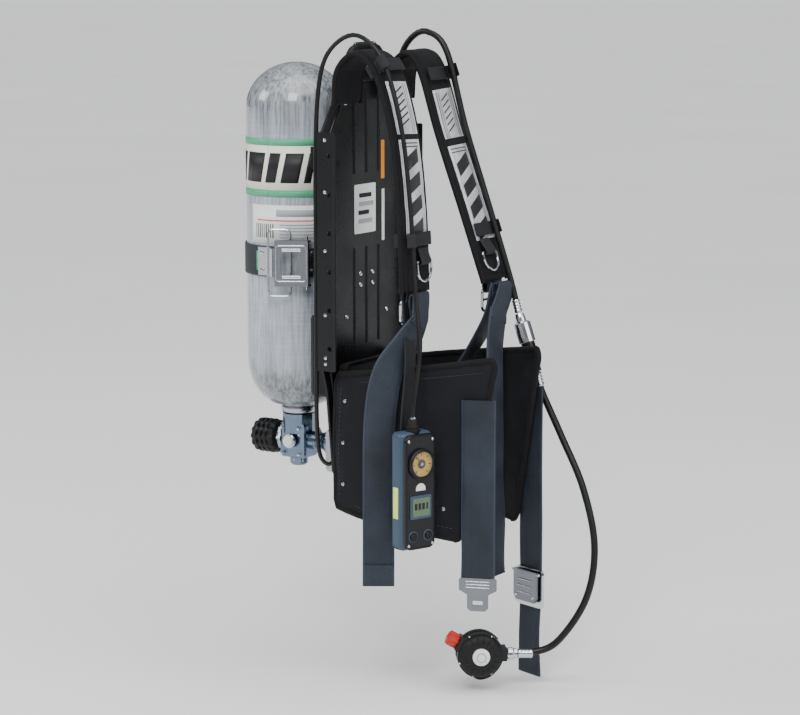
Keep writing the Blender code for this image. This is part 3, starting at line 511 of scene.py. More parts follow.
def webbing_look(name, colour, width):
    """Woven strap: herringbone rows and a firmer edge."""
    look = Look(name, colour, 0.62, 0.0, Sheen_Weight=0.03, Sheen_Roughness=0.40,
                Specular_IOR_Level=0.30)
    along, sideways = look.run()
    fold = look.math("PINGPONG", sideways, 0.0052)
    slanted = look.math("ADD", along, look.math("MULTIPLY", fold, 0.9))
    rib = look.math("SINE", look.math("MULTIPLY", slanted, TAU / 0.0026))
    thread = look.math("SINE", look.math("MULTIPLY", sideways, TAU / 0.0013))
    height = look.math("MULTIPLY_ADD", rib, 0.5, look.math("MULTIPLY", thread, 0.25))
    rim = look.math("GREATER_THAN", look.math("ABSOLUTE", sideways), width / 2.0 - 0.0022)
    wear = look.noise(0.050, 4.0)
    shade = look.math("MULTIPLY_ADD", height, 0.55, look.math("MULTIPLY", wear, 1.0))
    shade = look.math("ADD", shade, look.math("MULTIPLY", rim, 0.35))
    pale = tuple(value * 2.4 + 0.005 for value in colour)
    dark = tuple(value * 0.40 for value in colour)
    look.tint(look.mix(look.spread(shade, 0.15, 1.1), dark, pale))
    look.shine(look.spread(wear, 0.3, 0.7, 0.50, 0.72))
    look.bump(look.math("ADD", height, look.math("MULTIPLY", rim, -1.5)), 0.00025)
    return look.made


def reflective_look(name, bars=(), lines=()):
    """Silver reflective tape with a fine honeycomb, dark slanted bars and thin dark lines.

    The bars are (start, end, low, high) in metres along and across the tape; so are the lines."""
    look = Look(name, (0.72, 0.74, 0.76), 0.34, 0.25, Sheen_Weight=0.1)
    along, sideways = look.run()
    slanted = look.math("MULTIPLY_ADD", sideways, 0.45, along)
    printed = 0.0
    for place, marks in ((slanted, bars), (along, lines)):
        for start, end, low, high in marks:
            mark = look.math("MULTIPLY", look.between(place, start, end), look.between(sideways, low, high))
            printed = look.math("MAXIMUM", printed, mark)
    cell = look.cells(0.0022, "DISTANCE_TO_EDGE")
    wear = look.noise(0.020, 5.0)
    silver = look.mix(look.spread(wear, 0.30, 0.75), (0.46, 0.48, 0.50), (0.82, 0.84, 0.86))
    silver = look.mix(look.spread(cell, 0.0, 0.14), (0.40, 0.42, 0.44), silver)
    look.tint(look.mix(look.math("MULTIPLY", printed, look.spread(wear, 0.15, 0.4, 0.75, 1.0)), silver,
                       (0.012, 0.012, 0.014)))
    look.shine(look.spread(wear, 0.3, 0.7, 0.28, 0.48))
    look.bump(look.math("SUBTRACT", cell, look.math("MULTIPLY", printed, 0.4)), 0.00010)
    return look.made


def wrap_look():
    """Clear resin over hoop-wound glass fibre, with drips and streaks that run down it."""
    look = Look("fibre_wrap", (0.40, 0.43, 0.45), 0.22, 0.0, Coat_Weight=0.8, Coat_Roughness=0.07)
    streak = look.noise(0.0040, 6.0, (1.0, 1.0, 0.06), 0.65)
    cloud = look.noise(0.028, 5.0, (1.0, 1.0, 0.35), 0.6)
    hoop = look.noise(0.0030, 3.0, (0.05, 0.05, 1.0))
    height = look.node("SeparateXYZ", {"Vector": look.place()}).outputs["Z"]
    dome = look.spread(height, cylinder_top - 0.105, cylinder_top - 0.045)
    foot = look.spread(height, cylinder_foot + 0.075, cylinder_foot + 0.030)
    ends = look.math("MAXIMUM", dome, foot)
    body = look.math("ADD", look.math("MULTIPLY", streak, 0.62), look.math("MULTIPLY", cloud, 0.38))
    plain = look.mix(look.spread(body, 0.34, 0.68), (0.17, 0.20, 0.235), (0.50, 0.545, 0.60))
    rough = look.mix(look.spread(body, 0.40, 0.60), (0.055, 0.063, 0.070), (0.34, 0.37, 0.39))
    plain = look.mix(look.spread(hoop, 0.45, 0.75, 0.0, 0.22), plain, (0.62, 0.67, 0.72))
    look.tint(look.mix(look.math("MULTIPLY", ends, 0.85), plain, rough))
    look.shine(look.spread(streak, 0.3, 0.7, 0.16, 0.42))
    look.bump(body, 0.0006, 0.8)
    look.bump(hoop, 0.00012)
    return look.made


# ---------------------------------------------------------------- the palette
WRAP = wrap_look()
CHROME = metal_look("bright_chrome", (0.60, 0.62, 0.65), 0.16)
STEEL = metal_look("plated_steel", (0.40, 0.42, 0.46), 0.26, 1.0)
BRUSHED = metal_look("brushed_steel", (0.205, 0.215, 0.235), 0.33, 1.0)
BLUE_STEEL = metal_look("blued_alloy", (0.16, 0.21, 0.28), 0.24, 0.0)
ALUMINIUM = metal_look("cast_aluminium", (0.40, 0.42, 0.45), 0.40)
BRASS = metal_look("plated_brass", (0.56, 0.50, 0.38), 0.28)
BLACK = moulded_look("black_moulding", (0.0040, 0.0040, 0.0046), 0.42)
SATIN_BLACK = moulded_look("satin_moulding", (0.0050, 0.0054, 0.0064), 0.28, 0.0020, 0.00004)
SLATE = moulded_look("slate_moulding", (0.038, 0.066, 0.100), 0.34, 0.0010)
RUBBER = moulded_look("black_rubber", (0.0055, 0.0055, 0.0060), 0.55, 0.0008, 0.00006)
HOSE_RUBBER = moulded_look("hose_rubber", (0.0060, 0.0060, 0.0065), 0.38, 0.0016, 0.00008)
CLOTH = cloth_look("pad_cloth", (0.0045, 0.0046, 0.0056))
WING_CLOTH = cloth_look("wing_cloth", (0.0052, 0.0056, 0.0074), 0.0018)
BINDING = cloth_look("edge_binding", (0.0045, 0.0045, 0.0050), 0.0010)
WEBBING = webbing_look("navy_webbing", (0.015, 0.0205, 0.031), WEBBING_WIDTH)
BELT = webbing_look("belt_webbing", (0.0135, 0.0185, 0.028), BELT_WIDTH)
SMALL_WEBBING = webbing_look("small_webbing", (0.0060, 0.0065, 0.0085), 0.022)
WHITE = moulded_look("white_moulding", (0.72, 0.73, 0.72), 0.40, 0.0009, 0.00003)
RED = moulded_look("red_moulding", (0.50, 0.025, 0.018), 0.30, 0.0010, 0.00003)
ORANGE = moulded_look("orange_tape", (0.80, 0.30, 0.03), 0.45, 0.0015, 0.00004)
GLOW = moulded_look("glow_strip", (0.66, 0.80, 0.16), 0.40, 0.0012, 0.00003)
SILVER_CORD = reflective_look("silver_piping")
THREAD = moulded_look("thread", (0.055, 0.058, 0.065), 0.70, 0.0006, 0.00006)
BLACK_PRINT = moulded_look("black_print", (0.012, 0.012, 0.013), 0.45, 0.0012, 0.00002)
RED_PRINT = moulded_look("red_print", (0.62, 0.08, 0.09), 0.45, 0.0012, 0.00002)
GREEN_PRINT = moulded_look("green_print", (0.07, 0.38, 0.20), 0.40, 0.0016, 0.00002)
PAPER = moulded_look("label_paper", (0.78, 0.80, 0.79), 0.42, 0.0016, 0.00002)
CREAM = moulded_look("label_cream", (0.76, 0.78, 0.68), 0.38, 0.0018, 0.00002)
GREY_PRINT = moulded_look("grey_print", (0.36, 0.39, 0.42), 0.50, 0.0012, 0.00002)
YELLOW = moulded_look("dial_yellow", (0.74, 0.44, 0.02), 0.42, 0.0012, 0.00002)


def clear_look():
    """Clear polycarbonate with hairline scratches."""
    look = Look("clear_lens", (0.96, 0.97, 0.98), 0.04, 0.0, Transmission_Weight=1.0, IOR=1.45)
    look.shine(look.spread(look.noise(0.004, 4.0), 0.35, 0.75, 0.02, 0.10))
    return look.made


CLEAR = clear_look()

# ---------------------------------------------------------------- camera, light and floor
VIEW_AZIMUTH = math.radians(-58.0)
VIEW_HEIGHT = math.radians(9.0)
VIEW_DISTANCE = 3.5
VIEW_LENS = 118.0


def add_camera():
    """Camera on the wearer's side, a little above the set."""
    low, high = cad_bounds
    target = (Vector(low) + Vector(high)) / 2.0
    back = Vector((math.sin(VIEW_AZIMUTH) * math.cos(VIEW_HEIGHT),
                   -math.cos(VIEW_AZIMUTH) * math.cos(VIEW_HEIGHT), math.sin(VIEW_HEIGHT)))
    data = bpy.data.cameras.new("camera")
    data.lens = VIEW_LENS
    camera = bpy.data.objects.new("camera", data)
    bpy.context.scene.collection.objects.link(camera)
    camera.location = target + back * VIEW_DISTANCE
    camera.rotation_euler = back.to_track_quat("Z", "Y").to_euler()
    bpy.context.scene.camera = camera


def add_lamp(name, place, target, size, power, colour=(1.0, 1.0, 1.0)):
    """Soft square lamp."""
    data = bpy.data.lights.new(name, "AREA")
    data.shape = "SQUARE"
    data.size = size
    data.energy = power
    data.color = colour
    lamp = bpy.data.objects.new(name, data)
    bpy.context.scene.collection.objects.link(lamp)
    lamp.location = place
    lamp.rotation_euler = (Vector(place) - Vector(target)).to_track_quat("Z", "Y").to_euler()


def add_stage():
    """Pale floor, pale surroundings and studio lamps."""
    floor_z = cad_bounds[0][2] - 0.012
    bm = bmesh.new()
    bmesh.ops.create_circle(bm, cap_ends=True, radius=40.0, segments=96)
    data = bpy.data.meshes.new("floor")
    bm.to_mesh(data)
    bm.free()
    floor = bpy.data.objects.new("floor", data)
    bpy.context.scene.collection.objects.link(floor)
    floor.location.z = floor_z
    look = worn(Look("floor_paint", (0.86, 0.86, 0.86), 0.70), 0.012, 0.9)
    floor.data.materials.append(look.made)
    world = bpy.data.worlds.new("studio")
    world.use_nodes = True
    tree = world.node_tree
    tree.nodes["Background"].inputs["Color"].default_value = (0.93, 0.95, 1.0, 1.0)
    split = tree.nodes.new("ShaderNodeSeparateXYZ")
    tree.links.new(tree.nodes.new("ShaderNodeTexCoord").outputs["Generated"], split.inputs["Vector"])
    upward = tree.nodes.new("ShaderNodeMapRange")
    upward.inputs["From Min"].default_value = 0.05
    upward.inputs["From Max"].default_value = 0.85
    upward.inputs["To Min"].default_value = 0.10
    upward.inputs["To Max"].default_value = 0.62
    tree.links.new(split.outputs["Z"], upward.inputs["Value"])
    strength = tree.nodes.new("ShaderNodeMapRange")
    strength.inputs["To Max"].default_value = 0.98
    tree.links.new(tree.nodes.new("ShaderNodeLightPath").outputs["Is Camera Ray"], strength.inputs["Value"])
    tree.links.new(upward.outputs["Result"], strength.inputs["To Min"])
    tree.links.new(strength.outputs["Result"], tree.nodes["Background"].inputs["Strength"])
    bpy.context.scene.world = world
    middle = (0.0, -0.15, -0.12)
    add_lamp("key_lamp", (-2.6, -1.1, 2.0), middle, 1.2, 62.0)
    add_lamp("fill_lamp", (-0.6, -3.2, 1.0), middle, 1.6, 26.0)
    add_lamp("rim_lamp", (-1.6, 2.4, 1.5), middle, 1.0, 36.0)
    sun = bpy.data.lights.new("sky_lamp", "SUN")
    sun.energy = 2.3
    sun.angle = math.radians(60.0)
    lamp = bpy.data.objects.new("sky_lamp", sun)
    bpy.context.scene.collection.objects.link(lamp)
    lamp.rotation_euler = (math.radians(18.0), math.radians(-14.0), 0.0)


# ---------------------------------------------------------------- hoses
def ferrule(name, points, radius, length):
    """Crimped sleeve round the start of a hose, with three pressed rings."""
    axis = (points[1] - points[0]).normalized()
    profile = [(radius * 0.80, 0.0), (radius * 1.22, 0.0004), (radius * 1.32, 0.0014)]
    for ring in range(3):
        foot = length * (0.22 + 0.22 * ring)
        profile += [(radius * 1.32, foot), (radius * 1.20, foot + 0.0008), (radius * 1.20, foot + 0.0020),
                    (radius * 1.32, foot + 0.0028)]
    profile += [(radius * 1.32, length - 0.0012), (radius * 1.20, length), (radius * 0.80, length)]
    return mesh_piece(name, closed_turned(profile, 40), CHROME, matrix=standing(points[0], axis))


def build_hoses():
    """Hoses from the reducer to the console and the regulator, with their crimped ends."""
    for name, route, diameter in (("gauge_hose", GAUGE_ROUTE, GAUGE_HOSE),
                                  ("supply_hose", SUPPLY_ROUTE, SUPPLY_HOSE)):
        points = smooth_path(route, 150)
        tube_piece(name + "_skin", points, diameter, HOSE_RUBBER, stands_for=[name])
        ferrule(name + "_skin_start", points, diameter / 2.0, 0.016)
        ferrule(name + "_skin_end", points[::-1], diameter / 2.0, 0.018)
    points = smooth_path(REGULATOR_ROUTE, 100)
    cord = tube_piece("regulator_hose_skin", points, REGULATOR_HOSE, HOSE_RUBBER,
                      stands_for=["regulator_hose"])
    start = ferrule("regulator_hose_start", points, REGULATOR_HOSE / 2.0, 0.020)
    end = ferrule("regulator_hose_end", points[::-1], REGULATOR_HOSE / 2.0, 0.020)


# ---------------------------------------------------------------- cylinder
def cylinder_profile():
    """Shell outline, from the neck to the dome's top."""
    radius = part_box("cylinder_shell")[1][0]
    neck = 0.021
    foot_height = 0.066
    dome_height = 0.062
    straight_low = cylinder_foot + foot_height
    straight_high = cylinder_top - dome_height
    points = []
    for step in range(17):
        angle = math.radians(90.0 * step / 16)
        points.append((neck + (radius - neck) * math.sin(angle),
                       straight_low - foot_height * math.cos(angle)))
    for step in range(1, 12):
        points.append((radius, straight_low + (straight_high - straight_low) * step / 12))
    for step in range(17):
        angle = math.radians(90.0 * step / 16)
        points.append((radius * math.cos(angle), straight_high + dome_height * math.sin(angle)))
    points[-1] = (0.0, points[-1][1])
    return points


def wrap_sheet(name, low, high, start, end, lift, look, slant=0.0):
    """Thin sheet that lies round the cylinder between two heights and two angles in degrees."""
    rows = 2
    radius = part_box("cylinder_shell")[1][0] + lift
    columns = max(4, round(abs(end - start) / 2.5))
    bm = bmesh.new()
    grid = []
    for row in range(rows + 1):
        line = []
        for column in range(columns + 1):
            angle = math.radians(start + (end - start) * column / columns + slant * row / rows)
            height = low + (high - low) * row / rows
            line.append(bm.verts.new((radius * math.cos(angle), radius * math.sin(angle), height)))
        grid.append(line)
    grid_faces(bm, grid)
    piece = mesh_piece(name, bm, look)
    thick = piece.modifiers.new("thickness", "SOLIDIFY")
    thick.thickness = 0.00025
    thick.offset = 1.0
    return piece


LABEL_TOP = 0.135               # heights on the cylinder
LABEL_FOOT = 0.057
DATA_TOP = 0.046
DATA_FOOT = -0.006
FACE = -148.0                   # angle of the side that the camera sees, in degrees
BLOCKS = [(-62, 20), (-36, 13), (-17, 20), (9, 8), (23, 20), (49, 13)]     # start and width, degrees


def build_cylinder():
    """Wrapped shell with its printed bands, data label and neck collar."""
    skin = mesh_piece("cylinder_skin", turned(cylinder_profile(), 128), WRAP,
                      stands_for=["cylinder_shell"], sharp=60.0)
    skin.data.validate()
    wrap_sheet("label_band", LABEL_FOOT, LABEL_TOP, -180.0, 180.0, 0.00010, CREAM)
    for name, low in (("upper_stripe", LABEL_TOP - 0.009), ("lower_stripe", LABEL_FOOT)):
        wrap_sheet(name, low, low + 0.009, -180.0, 180.0, 0.00040, GREEN_PRINT)
    for repeat in range(3):
        for number, (start, wide) in enumerate(BLOCKS):
            begin = FACE + repeat * 120.0 + start
            wrap_sheet("block_%d_%d" % (repeat, number), LABEL_FOOT + 0.019, LABEL_TOP - 0.019, begin,
                       begin + wide, 0.0004, BLACK_PRINT, slant=7.0)
    for repeat in range(2):
        middle = FACE + 4.0 + repeat * 180.0
        tag = "data_%d_" % repeat
        wrap_sheet(tag + "label", DATA_FOOT, DATA_TOP, middle - 62.0, middle + 58.0, 0.00010, PAPER)
        wrap_sheet(tag + "red_line", 0.0245, 0.0262, middle - 52.0, middle + 52.0, 0.0004, RED_PRINT)
        wrap_sheet(tag + "head", 0.0310, 0.0400, middle - 26.0, middle + 40.0, 0.0004, GREY_PRINT)
        for line in range(6):
            top = 0.0205 - line * 0.0042
            shorter = 14.0 * abs(noise(Vector((line * 1.7, repeat, 0.3))))
            wrap_sheet(tag + "text_%d" % line, top - 0.0016, top, middle - 22.0, middle + 50.0 - shorter,
                       0.0004, GREY_PRINT)
        for bar in range(9):
            wide = 0.9 + 0.9 * abs(noise(Vector((bar * 2.3, repeat, 0.0))))
            start = middle - 54.0 + bar * 2.9
            wrap_sheet(tag + "bar_%d" % bar, 0.0015, 0.0205, start, start + wide, 0.0004, BLACK_PRINT)
    collar = [(0.0205, -0.2350), (0.0232, -0.2352), (0.0240, -0.2375), (0.0240, -0.2425), (0.0228, -0.2448),
              (0.0205, -0.2450)]
    mesh_piece("neck_collar", closed_turned(collar, 72), STEEL)


# ---------------------------------------------------------------- paint for the CAD nodes that stay
KEPT_LOOKS = {
    "cylinder_liner": ALUMINIUM, "valve_body": BLUE_STEEL, "cylinder_gauge_case": BRASS,
    "cylinder_gauge_needle": RED, "latch_base": STEEL, "latch_pin": CHROME, "band_catch": CHROME,
    "band_lever": BRUSHED, "band_bail": STEEL, "band_anchor": BLACK, "upper_saddle": BLACK,
    "lower_saddle": BLACK, "reducer_body": ALUMINIUM, "reducer_cap": CHROME, "alarm_housing": SATIN_BLACK,
    "power_module": SATIN_BLACK, "side_rail_left": SATIN_BLACK, "side_rail_right": SATIN_BLACK,
    "carry_handle": RUBBER, "adjuster_left": CHROME, "adjuster_right": CHROME, "d_ring_left": CHROME,
    "d_ring_right": CHROME, "buckle_frame": CHROME, "buckle_cover": BRUSHED, "buckle_tongue": BRUSHED,
    "console_button_1": RUBBER, "console_button_2": RUBBER, "console_bezel": BLACK,
    "console_needle": BLACK_PRINT, "console_lens": CLEAR, "regulator_body": SATIN_BLACK,
    "regulator_outlet": BLACK, "hose_swivel": CHROME, "hose_socket": CHROME, "hose_plug": SATIN_BLACK,
    "regulator_button": WHITE, "bypass_knob": RED, "carrier_plate": SATIN_BLACK, "console_case": SLATE,
    "console_cover": SATIN_BLACK, "regulator_cover": RUBBER, "cylinder_band": BLACK,
    "coupling_nut": BLUE_STEEL, "valve_handwheel": RUBBER,
    "lower_strap_left": WEBBING, "lower_strap_right": WEBBING, "strap_tail_left": WEBBING,
    "strap_tail_right": WEBBING, "waist_belt_left": BELT, "waist_belt_right": BELT,
    "shoulder_pad_left": CLOTH, "shoulder_pad_right": CLOTH, "lumbar_pad": CLOTH,
    "waist_wing_left": WING_CLOTH, "waist_wing_right": WING_CLOTH,
}


def paint_kept_nodes():
    """Give each CAD node that stays in view its finish."""
    for name, look in KEPT_LOOKS.items():
        node = frame["nodes"][name]
        for slot in node.material_slots:
            slot.material = look


# ---------------------------------------------------------------- soft goods
def along_strip(centres, sides):
    """For each centre of a strip: itself, the run so far, and the directions across and out."""
    travelled = 0.0
    for index, middle in enumerate(centres):
        before = centres[max(index - 1, 0)]
        after = centres[min(index + 1, len(centres) - 1)]
        if index:
            travelled += (middle - before).length
        along = (after - before).normalized()
        side = (sides[index] - along * sides[index].dot(along)).normalized()
        yield middle, travelled, side, along.cross(side).normalized()


def write_run(bm, distances):
    """Keep each vertex's run along and across its strip as the UV map that the looks read."""
    run = bm.loops.layers.uv.new("run")
    for face in bm.faces:
        for loop in face.loops:
            loop[run].uv = distances[loop.vert]


def ribbon(centres, sides, width, thickness, cup=0.0):
    """Closed strap along the centres. Its edges bend back by the cup."""
    bm = bmesh.new()
    rings = []
    distances = {}
    for middle, travelled, side, out in along_strip(centres, sides):
        half = width / 2.0
        deep = thickness / 2.0
        ring = []
        spots = [(half - deep + deep * math.cos(math.radians(a)), deep * math.sin(math.radians(a)))
                 for a in range(-90, 91, 60)]
        spots += [(half * share, deep) for share in (0.6, 0.2, -0.2, -0.6)]
        spots += [(-across, -deep_by) for across, deep_by in spots]
        for across, rise in spots:
            bend = -cup * (across / half) ** 2
            vert = bm.verts.new(middle + side * across + out * (rise + bend))
            distances[vert] = (travelled, across)
            ring.append(vert)
        rings.append(ring)
    for low, high in zip(rings, rings[1:]):
        for step in range(len(low)):
            after = (step + 1) % len(low)
            bm.faces.new((low[step], low[after], high[after], high[step]))
    bm.faces.new(rings[0])
    bm.faces.new(rings[-1])
    write_run(bm, distances)
    return bm


def spread_sides(sides, count):
    """Side vectors spread evenly over a count of points."""
    spread = []
    for step in range(count):
        place = step / (count - 1) * (len(sides) - 1)
        index = min(int(place), max(len(sides) - 2, 0))
        after = min(index + 1, len(sides) - 1)
        spread.append(Vector(sides[index]).lerp(Vector(sides[after]), place - index))
    return spread


def strap(name, points, sides, width, look, thickness=WEBBING_THICKNESS, count=70,
          curl=0.0, seed=0.0, cup=0.0, stands_for=()):
    """Webbing on the smooth curve through the points, with a slight wander, cup and twist."""
    centres = smooth_path(points, count)
    spread = spread_sides(sides, count)
    moved = []
    for index, middle in enumerate(centres):
        part = index / (count - 1)
        fade = math.sin(math.pi * part) if curl >= 0.0 else part
        along = (centres[min(index + 1, count - 1)] - centres[max(index - 1, 0)]).normalized()
        out = along.cross(spread[index]).normalized()
        moved.append(middle + out * abs(curl) * fade * noise(Vector((part * 4.0, seed, 0.0))))
        if curl:
            spread[index] = spread[index] + out * 0.16 * fade * noise(Vector((part * 3.0, seed, 5.0)))
    return mesh_piece(name, ribbon(moved, spread, width, thickness, cup), look, "root", stands_for,
                      sharp=70.0)


def fold_end(name, points, side, width, look, length=0.026):
    """Strap end turned back on itself and stitched down with a box of thread."""
    end = Vector(points[-1])
    along = (end - Vector(points[-2])).normalized()
    out = along.cross(side).normalized()
    gap = WEBBING_THICKNESS * 1.05
    centres = [end - along * (length - step * length / 6.0) + out * gap for step in range(7)]
    centres += [end + along * gap * 0.6 + out * gap * 0.9, end + along * gap * 0.6 + out * gap * 0.1]
    mesh_piece(name, ribbon(centres, [side] * len(centres), width, WEBBING_THICKNESS * 0.9), look,
               sharp=70.0)
    face = out * (gap + WEBBING_THICKNESS * 0.47)
    box = ((-0.42, 0.15), (0.42, 0.15), (0.42, 0.90), (-0.42, 0.90), (-0.42, 0.15), (0.42, 0.90))
    stitch_line(name + "_thread", [end - along * length * depth + side * width * share + face
                                   for share, depth in box])


def stitch_line(name, points, pitch=STITCH_PITCH, look=None):
    """Row of short raised stitches along a line."""
    bm = bmesh.new()
    for one, two in zip(points, points[1:]):
        span = (two - one).length
        count = max(1, round(span / pitch))
        along = (two - one).normalized()
        turn = along.to_track_quat("X", "Z").to_matrix().to_4x4()
        for step in range(count):
            middle = one + (two - one) * (step + 0.5) / count
            size = Matrix.Diagonal((span / count * 0.66, 0.0008, 0.0008, 1.0))
            bmesh.ops.create_icosphere(bm, subdivisions=1, radius=0.5,
                                       matrix=Matrix.Translation(middle) @ turn @ size)
    return mesh_piece(name, bm, look or THREAD)


def waving(point):
    """Slow wave over a padded piece, from -1 to 1."""
    return noise(Vector((point.y * 13.0, point.z * 9.0, 2.0)))


CLOTH_VOXEL = 0.005             # size of the remeshed pad's squares
CLOTH_FRAMES = 20
CLOTH_PRESSURE = 4.0


def stuffed(name, bm, look, seam, swell, stands_for, crease=0.0006, sway=0.0):
    """Padded piece: remeshed, blown up with cloth pressure between its seams, then creased.

    The seam function gives how firmly a point is sewn, from 0 to 1."""
    piece = mesh_piece(name, bm, look, "root", stands_for, sharp=180.0)
    remesh = piece.modifiers.new("remesh", "REMESH")
    remesh.mode = "VOXEL"
    remesh.voxel_size = CLOTH_VOXEL
    settle(piece)
    start = [vert.co.copy() for vert in piece.data.vertices]
    sewn = [seam(point) for point in start]
    group = piece.vertex_groups.new(name="sewn")
    for index, firm in enumerate(sewn):
        group.add([index], firm, "REPLACE")
    cloth = piece.modifiers.new("cloth", "CLOTH")
    cloth.settings.quality = 6
    cloth.settings.mass = 0.25
    cloth.settings.tension_stiffness = 12.0
    cloth.settings.compression_stiffness = 12.0
    cloth.settings.bending_stiffness = 0.6
    cloth.settings.use_pressure = True
    cloth.settings.uniform_pressure_force = CLOTH_PRESSURE
    cloth.settings.effector_weights.gravity = 0.0
    cloth.settings.vertex_group_mass = "sewn"
    cloth.collision_settings.use_collision = False
    cloth.point_cache.frame_start = 1
    cloth.point_cache.frame_end = CLOTH_FRAMES
    scene = bpy.context.scene
    for number in range(1, CLOTH_FRAMES + 1):
        scene.frame_set(number)
    settle(piece)
    scene.frame_set(1)
    for vert, point in zip(piece.data.vertices, start):
        moved = vert.co - point
        if moved.length > swell:
            vert.co = point + moved.normalized() * swell
    piece.vertex_groups.clear()
    for vert, firm in zip(piece.data.vertices, sewn):
        wave = noise(vert.co * 34.0) + 0.5 * noise(vert.co * 90.0)
        vert.co += vert.normal * wave * crease * (1.0 - 0.7 * firm)
        vert.co.x += sway * waving(vert.co)
    finer = piece.modifiers.new("finer", "SUBSURF")
    finer.levels = 1
    finer.render_levels = 1
    settle(piece)
    piece.data.shade_smooth()
    return piece


def skin_of(piece):
    """Search tree over a piece's surface."""
    graph = bpy.context.evaluated_depsgraph_get()
    return BVHTree.FromObject(piece, graph)


def drop_on(tree, point, away, lift, reach=0.030):
    """Point moved along a direction onto a surface, then lifted off it."""
    hit = tree.ray_cast(point + away * reach, -away, 2.0 * reach)[0]
    return (point if hit is None else hit) + away * lift


def sewn_strip(name, tree, centres, sides, width, look):
    """Tape sewn on a surface along the centres. Its run along and across is kept as a UV map."""
    columns = 9
    bm = bmesh.new()
    spots = {}
    grid = []
    for middle, travelled, side, away in along_strip(centres, sides):
        line = []
        for column in range(columns + 1):
            across = width * (column / columns - 0.5)
            edge = 1.0 if 0 < column < columns else 0.35
            vert = bm.verts.new(drop_on(tree, middle + side * across, away, LIFT * edge + 0.0002))
            spots[vert] = (travelled, across)
            line.append(vert)
        grid.append(line)
    grid_faces(bm, grid)
    write_run(bm, spots)
    edges = [[vert.co.copy() for vert in line] for line in grid]
    piece = mesh_piece(name, bm, look, sharp=60.0)
    sheet = piece.modifiers.new("thickness", "SOLIDIFY")
    sheet.thickness = 0.0007
    sheet.offset = -1.0
    return edges


# ---------------------------------------------------------------- shoulder pads
UPPER_TAPE = reflective_look(
    "upper_tape", [(0.010 + 0.0085 * step, 0.0125 + 0.0085 * step, -0.010, 0.010) for step in range(6)],
    [(0.004, 0.068, side, side + 0.0013) for side in (-0.0190, -0.0140, 0.0130, 0.0180)])
LOWER_TAPE = reflective_look(
    "lower_tape", [(0.018 + 0.030 * step, 0.036 + 0.030 * step, -0.0165, 0.0165) for step in range(4)],
    [(0.004, 0.0055, -0.020, 0.020), (0.0085, 0.0100, -0.020, 0.020)])
TAPE_WIDTH = 0.046


def build_pad(side):
    """Padded shoulder strap with its reflective tapes, piping, stitches and keepers."""
    route = smooth_path(PAD_ROUTES[side], 120)
    half = PAD_WIDTH / 2.0
    bm = ribbon(route, [ACROSS] * len(route), PAD_WIDTH - 0.004, PAD_THICKNESS - 0.003)
    length = path_length(route)

    def seam(point):
        index = min(range(0, len(route), 2), key=lambda step: (route[step] - point).length_squared)
        across = abs(point.x - route[index].x)
        travelled = length * index / (len(route) - 1)
        firm = 1.0 if across > half - 0.0052 or abs(across - 0.0245) < 0.0024 else 0.0
        if min(abs(travelled - place) for place in (0.010, 0.105, length - 0.045, length - 0.010)) < 0.004:
            firm = 1.0
        return firm

    name = "pad_" + side
    pad = stuffed(name, bm, CLOTH, seam, 0.0045, ["shoulder_pad_" + side])
    tree = skin_of(pad)
    step = length / (len(route) - 1)
    sides = [ACROSS] * len(route)

    # reflective tapes, the upper one short and the lower one long
    first = next(index for index in range(len(route) // 3, len(route)) if route[index].z < 0.222)
    stops = [(first, first + round(0.072 / step), UPPER_TAPE, "upper"),
             (first + round(0.077 / step), first + round(0.212 / step), LOWER_TAPE, "lower")]
    for begin, finish, look, word in stops:
        finish = min(finish, len(route) - 8)
        edges = sewn_strip(name + "_tape_" + word, tree, route[begin:finish], sides, TAPE_WIDTH, look)
        for column, place in ((0, "inner"), (-1, "outer")):
            line = [row[column] for row in edges]
            tube_piece(name + "_piping_%s_%s" % (word, place), line, 0.0016, SILVER_CORD)
        inset = [row[1] + Vector((0.0, -0.0006, 0.0)) for row in edges]
        stitch_line(name + "_stitch_" + word, inset, TAPE_PITCH, GREY_PRINT)

    # edge binding along both long edges, and keepers that hold the hose
    for sign, place in ((-1.0, "right"), (1.0, "left")):
        line = [point + ACROSS * sign * (half - 0.0012) for point in route]
        tube_piece(name + "_binding_" + place, line, 0.0062, BINDING)
    outer = -1.0 if side == "right" else 1.0
    hose = smooth_path(GAUGE_ROUTE if side == "right" else SUPPLY_ROUTE, 300)
    for number, place in enumerate((first - round(0.020 / step), len(route) - round(0.074 / step))):
        middle = route[place]
        core = min(hose[120:], key=lambda point: (point - middle).length)
        keeper(name + "_keeper_%d" % number, middle, core, route[place + 1] - route[place - 1], outer)


def keeper(name, middle, core, along, outer):
    """Elastic loop sewn across the pad, which goes round the hose beside it."""
    along = along.normalized()
    out = along.cross(ACROSS).normalized()
    deep = PAD_THICKNESS / 2.0 + 0.0030
    half = PAD_WIDTH / 2.0
    over = ((-outer * (half - 0.006), deep), (0.0, deep + 0.0012), (outer * (half - 0.003), deep))
    around = [middle + ACROSS * across + out * rise for across, rise in over]
    shift = core - middle
    offset = Vector((0.0, shift.dot(ACROSS), shift.dot(out)))
    radius = 0.0068
    for angle in (70.0, 20.0, -30.0, -80.0, -120.0):
        across = offset.y + outer * radius * math.cos(math.radians(angle))
        rise = offset.z + radius * math.sin(math.radians(angle))
        around.append(middle + ACROSS * across + out * rise)
    around += [middle + ACROSS * outer * (half - 0.004) - out * deep, middle - out * (deep + 0.0006)]
    centres = smooth_path(around, 40)
    mesh_piece(name, ribbon(centres, [along] * len(centres), 0.018, 0.0016), SMALL_WEBBING,
               sharp=70.0)


